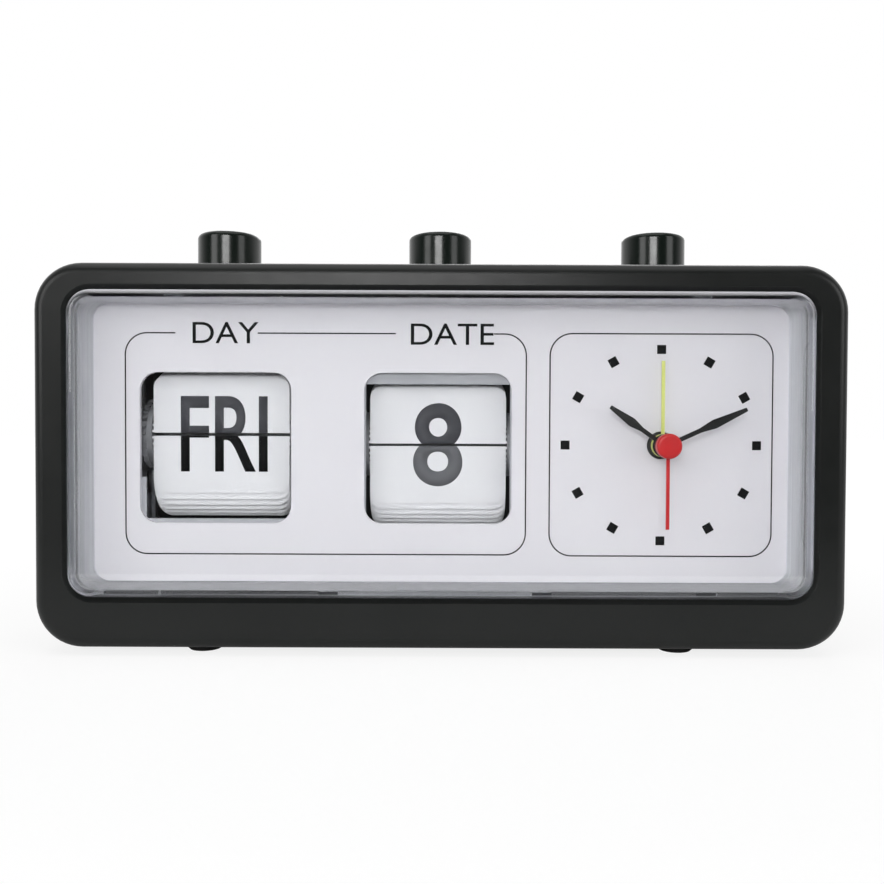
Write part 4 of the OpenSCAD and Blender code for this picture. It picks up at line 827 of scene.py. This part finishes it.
def screwMesh(look, length):
    # made in millimetres with its seat at z = 0, the head above and the thread below, then turned to face +Y
    bm = bmesh.new()
    sides, r, h, rim = (look[k] for k in ("sides", "headRadius", "headHeight", "rim"))
    shank, point, crown = (look[k] for k in ("shankRadius", "point", "crown"))
    outline = [(shank * point["ratio"], -length)]
    for i in range(int((length - look["plain"]) / look["pitch"]) * 2 + 1):
        depth = look["thread"] if i % 2 else 0.0
        outline.append((shank - depth, -length + point["length"] + i * look["pitch"] / 2))
    outline += [(shank, 0), (r, 0), (r, rim)]
    for step in range(1, crown["steps"]):
        lean = math.radians(90 * step / crown["steps"])
        outline.append((r - crown["inset"] * (1 - math.cos(lean)), rim + (h - rim) * math.sin(lean)))
    rings = [ring(bm, radius, z, sides) for radius, z in outline]
    for first, second in zip(rings, rings[1:]):
        bridge(bm, first, second)
    bm.faces.new(rings[0][::-1])
    arm, half, depth, taper = (look["recess"][k] for k in ("arm", "half", "depth", "taper"))
    cross = [(arm, -half), (arm, half), (half, half), (half, arm), (-half, arm), (-half, half),
             (-arm, half), (-arm, -half), (-half, -half), (-half, -arm), (half, -arm), (half, -half)]
    top = rings[-1][0].co.z
    upper = [bm.verts.new((x, y, top)) for x, y in cross]
    lower = [bm.verts.new((x * taper, y * taper, top - depth)) for x, y in cross]
    bridge(bm, upper, lower)
    bm.faces.new(lower)
    bm.edges.ensure_lookup_table()
    loops = (rings[-1], upper)
    edges = [bm.edges.get((loop[i], loop[(i + 1) % len(loop)])) for loop in loops for i in range(len(loop))]
    bmesh.ops.triangle_fill(bm, use_beauty=True, edges=edges)
    bmesh.ops.recalc_face_normals(bm, faces=bm.faces)
    mesh = bpy.data.meshes.new("screw")
    bm.to_mesh(mesh)
    bm.free()
    mesh.transform(Matrix.Rotation(math.radians(-90), 4, "X") @ Matrix.Diagonal((mm, mm, mm, 1)))
    return mesh


def makeScrewTree():
    # one screw set on every point of the start shape
    inputs = [("Screw", "NodeSocketObject", None), ("Finish", "NodeSocketMaterial", None)]
    tree, given, result = geometryTree("screwSet", inputs)
    model = addNode(tree, "GeometryNodeObjectInfo")
    spread = addNode(tree, "GeometryNodeInstanceOnPoints")
    link(tree, given.outputs["Screw"], model.inputs["Object"])
    link(tree, given.outputs["Geometry"], spread.inputs["Points"])
    link(tree, model.outputs["Geometry"], spread.inputs["Instance"])
    closeTree(tree, spread.outputs[0], given, result)
    return tree


def setScrews(node, look):
    low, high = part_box(node)
    r = look["headRadius"] * mm
    seat = high.y - look["headHeight"] * mm
    model = bpy.data.objects.new("screwModel", screwMesh(look, (seat - low.y) / mm))
    scene.collection.objects.link(model)
    places = bpy.data.meshes.new("screwPlaces")
    corners = [(x, seat, z) for x in (low.x + r, high.x - r) for z in (low.z + r, high.z - r)]
    places.from_pydata(corners, [], [])
    values = {"Screw": model, "Finish": materials["zincSteel"]}
    mesh = growMesh(node + "Heads", places, makeScrewTree(), values)
    bpy.data.objects.remove(model)
    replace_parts(addPiece(node + "Heads", mesh, "zincSteel", "case"), node)


setScrews("case_screws", screwLook)
print("screws set")


# grey cards stuck behind the dial beside the leaves, a guessed part whose grey is painted shade for the leaves
# that sit in shadow there
# each outline is in millimetres, across from the middle of the leaf and up from the ground
windowCards = {
    "thick": 0.3, "dial": 1.5,
    "day": [(-24.6, 29), (22, 29), (22, 35), (-20.15, 35), (-20.15, 46.6), (-24.6, 46.6)],
    "date": [(-23, 31), (-20.1, 31), (-20.1, 72.75), (20.1, 72.75), (20.1, 31), (23, 31), (23, 78.5),
             (-23, 78.5)],
}


def addCard(unit, look):
    leafLow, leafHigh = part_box(unit + "_flip_leaf")
    middle = (leafLow.x + leafHigh.x) / 2
    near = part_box("dial_plate")[0].y + look["dial"] * mm
    bm = bmesh.new()
    front, rear = ([bm.verts.new((middle + x * mm, y, z * mm)) for x, z in look[unit]]
                   for y in (near, near + look["thick"] * mm))
    bm.faces.new(front)
    bm.faces.new(rear[::-1])
    bridge(bm, front, rear)
    bm.normal_update()
    bmesh.ops.triangulate(bm, faces=[face for face in bm.faces if len(face.verts) > 4])
    bmesh.ops.recalc_face_normals(bm, faces=bm.faces)
    card = bpy.data.meshes.new(unit + "Card")
    bm.to_mesh(card)
    bm.free()
    addPiece(unit + "_card", card, "cardShadeGrey", "case")


for unit in ("day", "date"):
    addCard(unit, windowCards)
print("cards set")


# marks moulded on the rear cover and the battery door, raised and in millimetres
rearMarks = {
    "raise": 0.3, "line": 0.6, "cornerSteps": 6,
    "arrow": {"radius": 7.4, "sweep": 105, "steps": 24, "head": 2.0, "spread": 32, "lean": 8},
    "clock": {"radius": 2.1, "end": 345, "steps": 24, "hour": 1.4, "minute": (0.95, -0.5)},
    "bell": {"radius": 1.4, "middle": 0.5, "steps": 12, "waist": -0.5, "lip": (2, -1.2),
             "clapper": {"radius": 0.5, "drop": 1.9, "steps": 6}},
    "knobs": {"time_set_turn": {"middle": 90, "sign": "clock", "offset": (0, 12.6)},
              "alarm_set_turn": {"middle": 270, "sign": "bell", "offset": (0, -12.8)}},
    "plate": {"centre": (-36, 66), "size": (62, 26), "radius": 2.5},
    "door": {"size": (33, 5.6), "radius": 1.2, "nub": (1.4, 2.4), "drop": 2.7, "sign": 1.3, "inset": 4},
}


def flatToRear(mesh, x, y, z):
    # a flat drawing stands up facing +Y, read from behind, with its foot at y
    mesh.transform(Matrix(((-1, 0, 0, x), (0, 0, 1, y), (0, 1, 0, z), (0, 0, 0, 1))))
    mesh.update()
    return mesh


def arrowRuns(look, middle):
    # a bent arrow round a knob, with two barbs at its end
    half, head = look["sweep"] / 2, look["head"]
    sweep = arc((0, 0), look["radius"], middle - half, middle + half, look["steps"])
    tip, away = sweep[-1], math.radians(middle + half - 90)
    barbs = []
    for side in (-1, 1):
        lean = away + side * math.radians(look["spread"]) + math.radians(look["lean"])
        barbs.append(([tip, (tip[0] + head * math.cos(lean), tip[1] + head * math.sin(lean))], False))
    return [(sweep, False)] + barbs


def clockSign(look, x, y):
    right, down = look["minute"]
    face = arc((x, y), look["radius"], 0, look["end"], look["steps"])
    return [(face, True), ([(x, y + look["hour"]), (x, y), (x + right, y + down)], False)]


def bellSign(look, x, y):
    r, clapper = look["radius"], look["clapper"]
    (lip, foot), waist = look["lip"], y + look["waist"]
    left = [(x - lip, y + foot), (x - r, waist)]
    right = [(x + r, waist), (x + lip, y + foot)]
    dome = arc((x, y + look["middle"]), r, 180, 0, look["steps"])
    ball = arc((x, y - clapper["drop"]), clapper["radius"], 180, 360, clapper["steps"])
    return [(left + dome + right, True), (ball, False)]


def mouldRuns(name, runs, x, y, z, body):
    values = {"Width": rearMarks["line"] * mm, "Ink": rearMarks["raise"] * mm,
              "Finish": materials["caseBlack"]}
    lines = growMesh(name, pathMesh(name, runs), lineTree, values)
    lines = flatToRear(lines, x, y + rearMarks["raise"] / 2 * mm, z)
    addPiece(name, lines, "caseBlack", body)


def doorRuns(look, steps):
    # a cell seen from the side, with its plus and minus signs
    sign, (w, h), (out, tall) = look["sign"], look["size"], look["nub"]
    end, plus = w / 2, w / 2 - look["inset"]
    nub = [(end, tall / 2), (end + out, tall / 2), (end + out, -tall / 2), (end, -tall / 2)]
    strokes = [nub, [(plus - sign, 0), (plus + sign, 0)], [(plus, -sign), (plus, sign)],
               [(-plus - sign, 0), (-plus + sign, 0)]]
    return roundedRun(w, h, look["radius"], 0, 0, steps) + [(stroke, False) for stroke in strokes]


def markRear(look):
    face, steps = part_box("rear_cover")[1].y, look["cornerSteps"]
    signs = {"clock": clockSign, "bell": bellSign}
    for joint, knob in look["knobs"].items():
        place, sign = joints[joint]["pos_m"], knob["sign"]
        runs = arrowRuns(look["arrow"], knob["middle"]) + signs[sign](look[sign], *knob["offset"])
        mouldRuns(joint.replace("_turn", "_mark"), runs, place[0], face, place[2], "case")
    plate = look["plate"]
    x, z = plate["centre"]
    runs = roundedRun(*plate["size"], plate["radius"], 0, 0, steps)
    mouldRuns("bare_plate_mark", runs, x * mm, face, z * mm, "case")
    low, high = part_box("battery_door")
    door = look["door"]
    mouldRuns("battery_door_mark", doorRuns(door, steps), (low.x + high.x) / 2, high.y,
              (low.z + high.z) / 2 - door["drop"] * mm, "battery_door")


markRear(rearMarks)
print("rear marked")


print("scene ready")
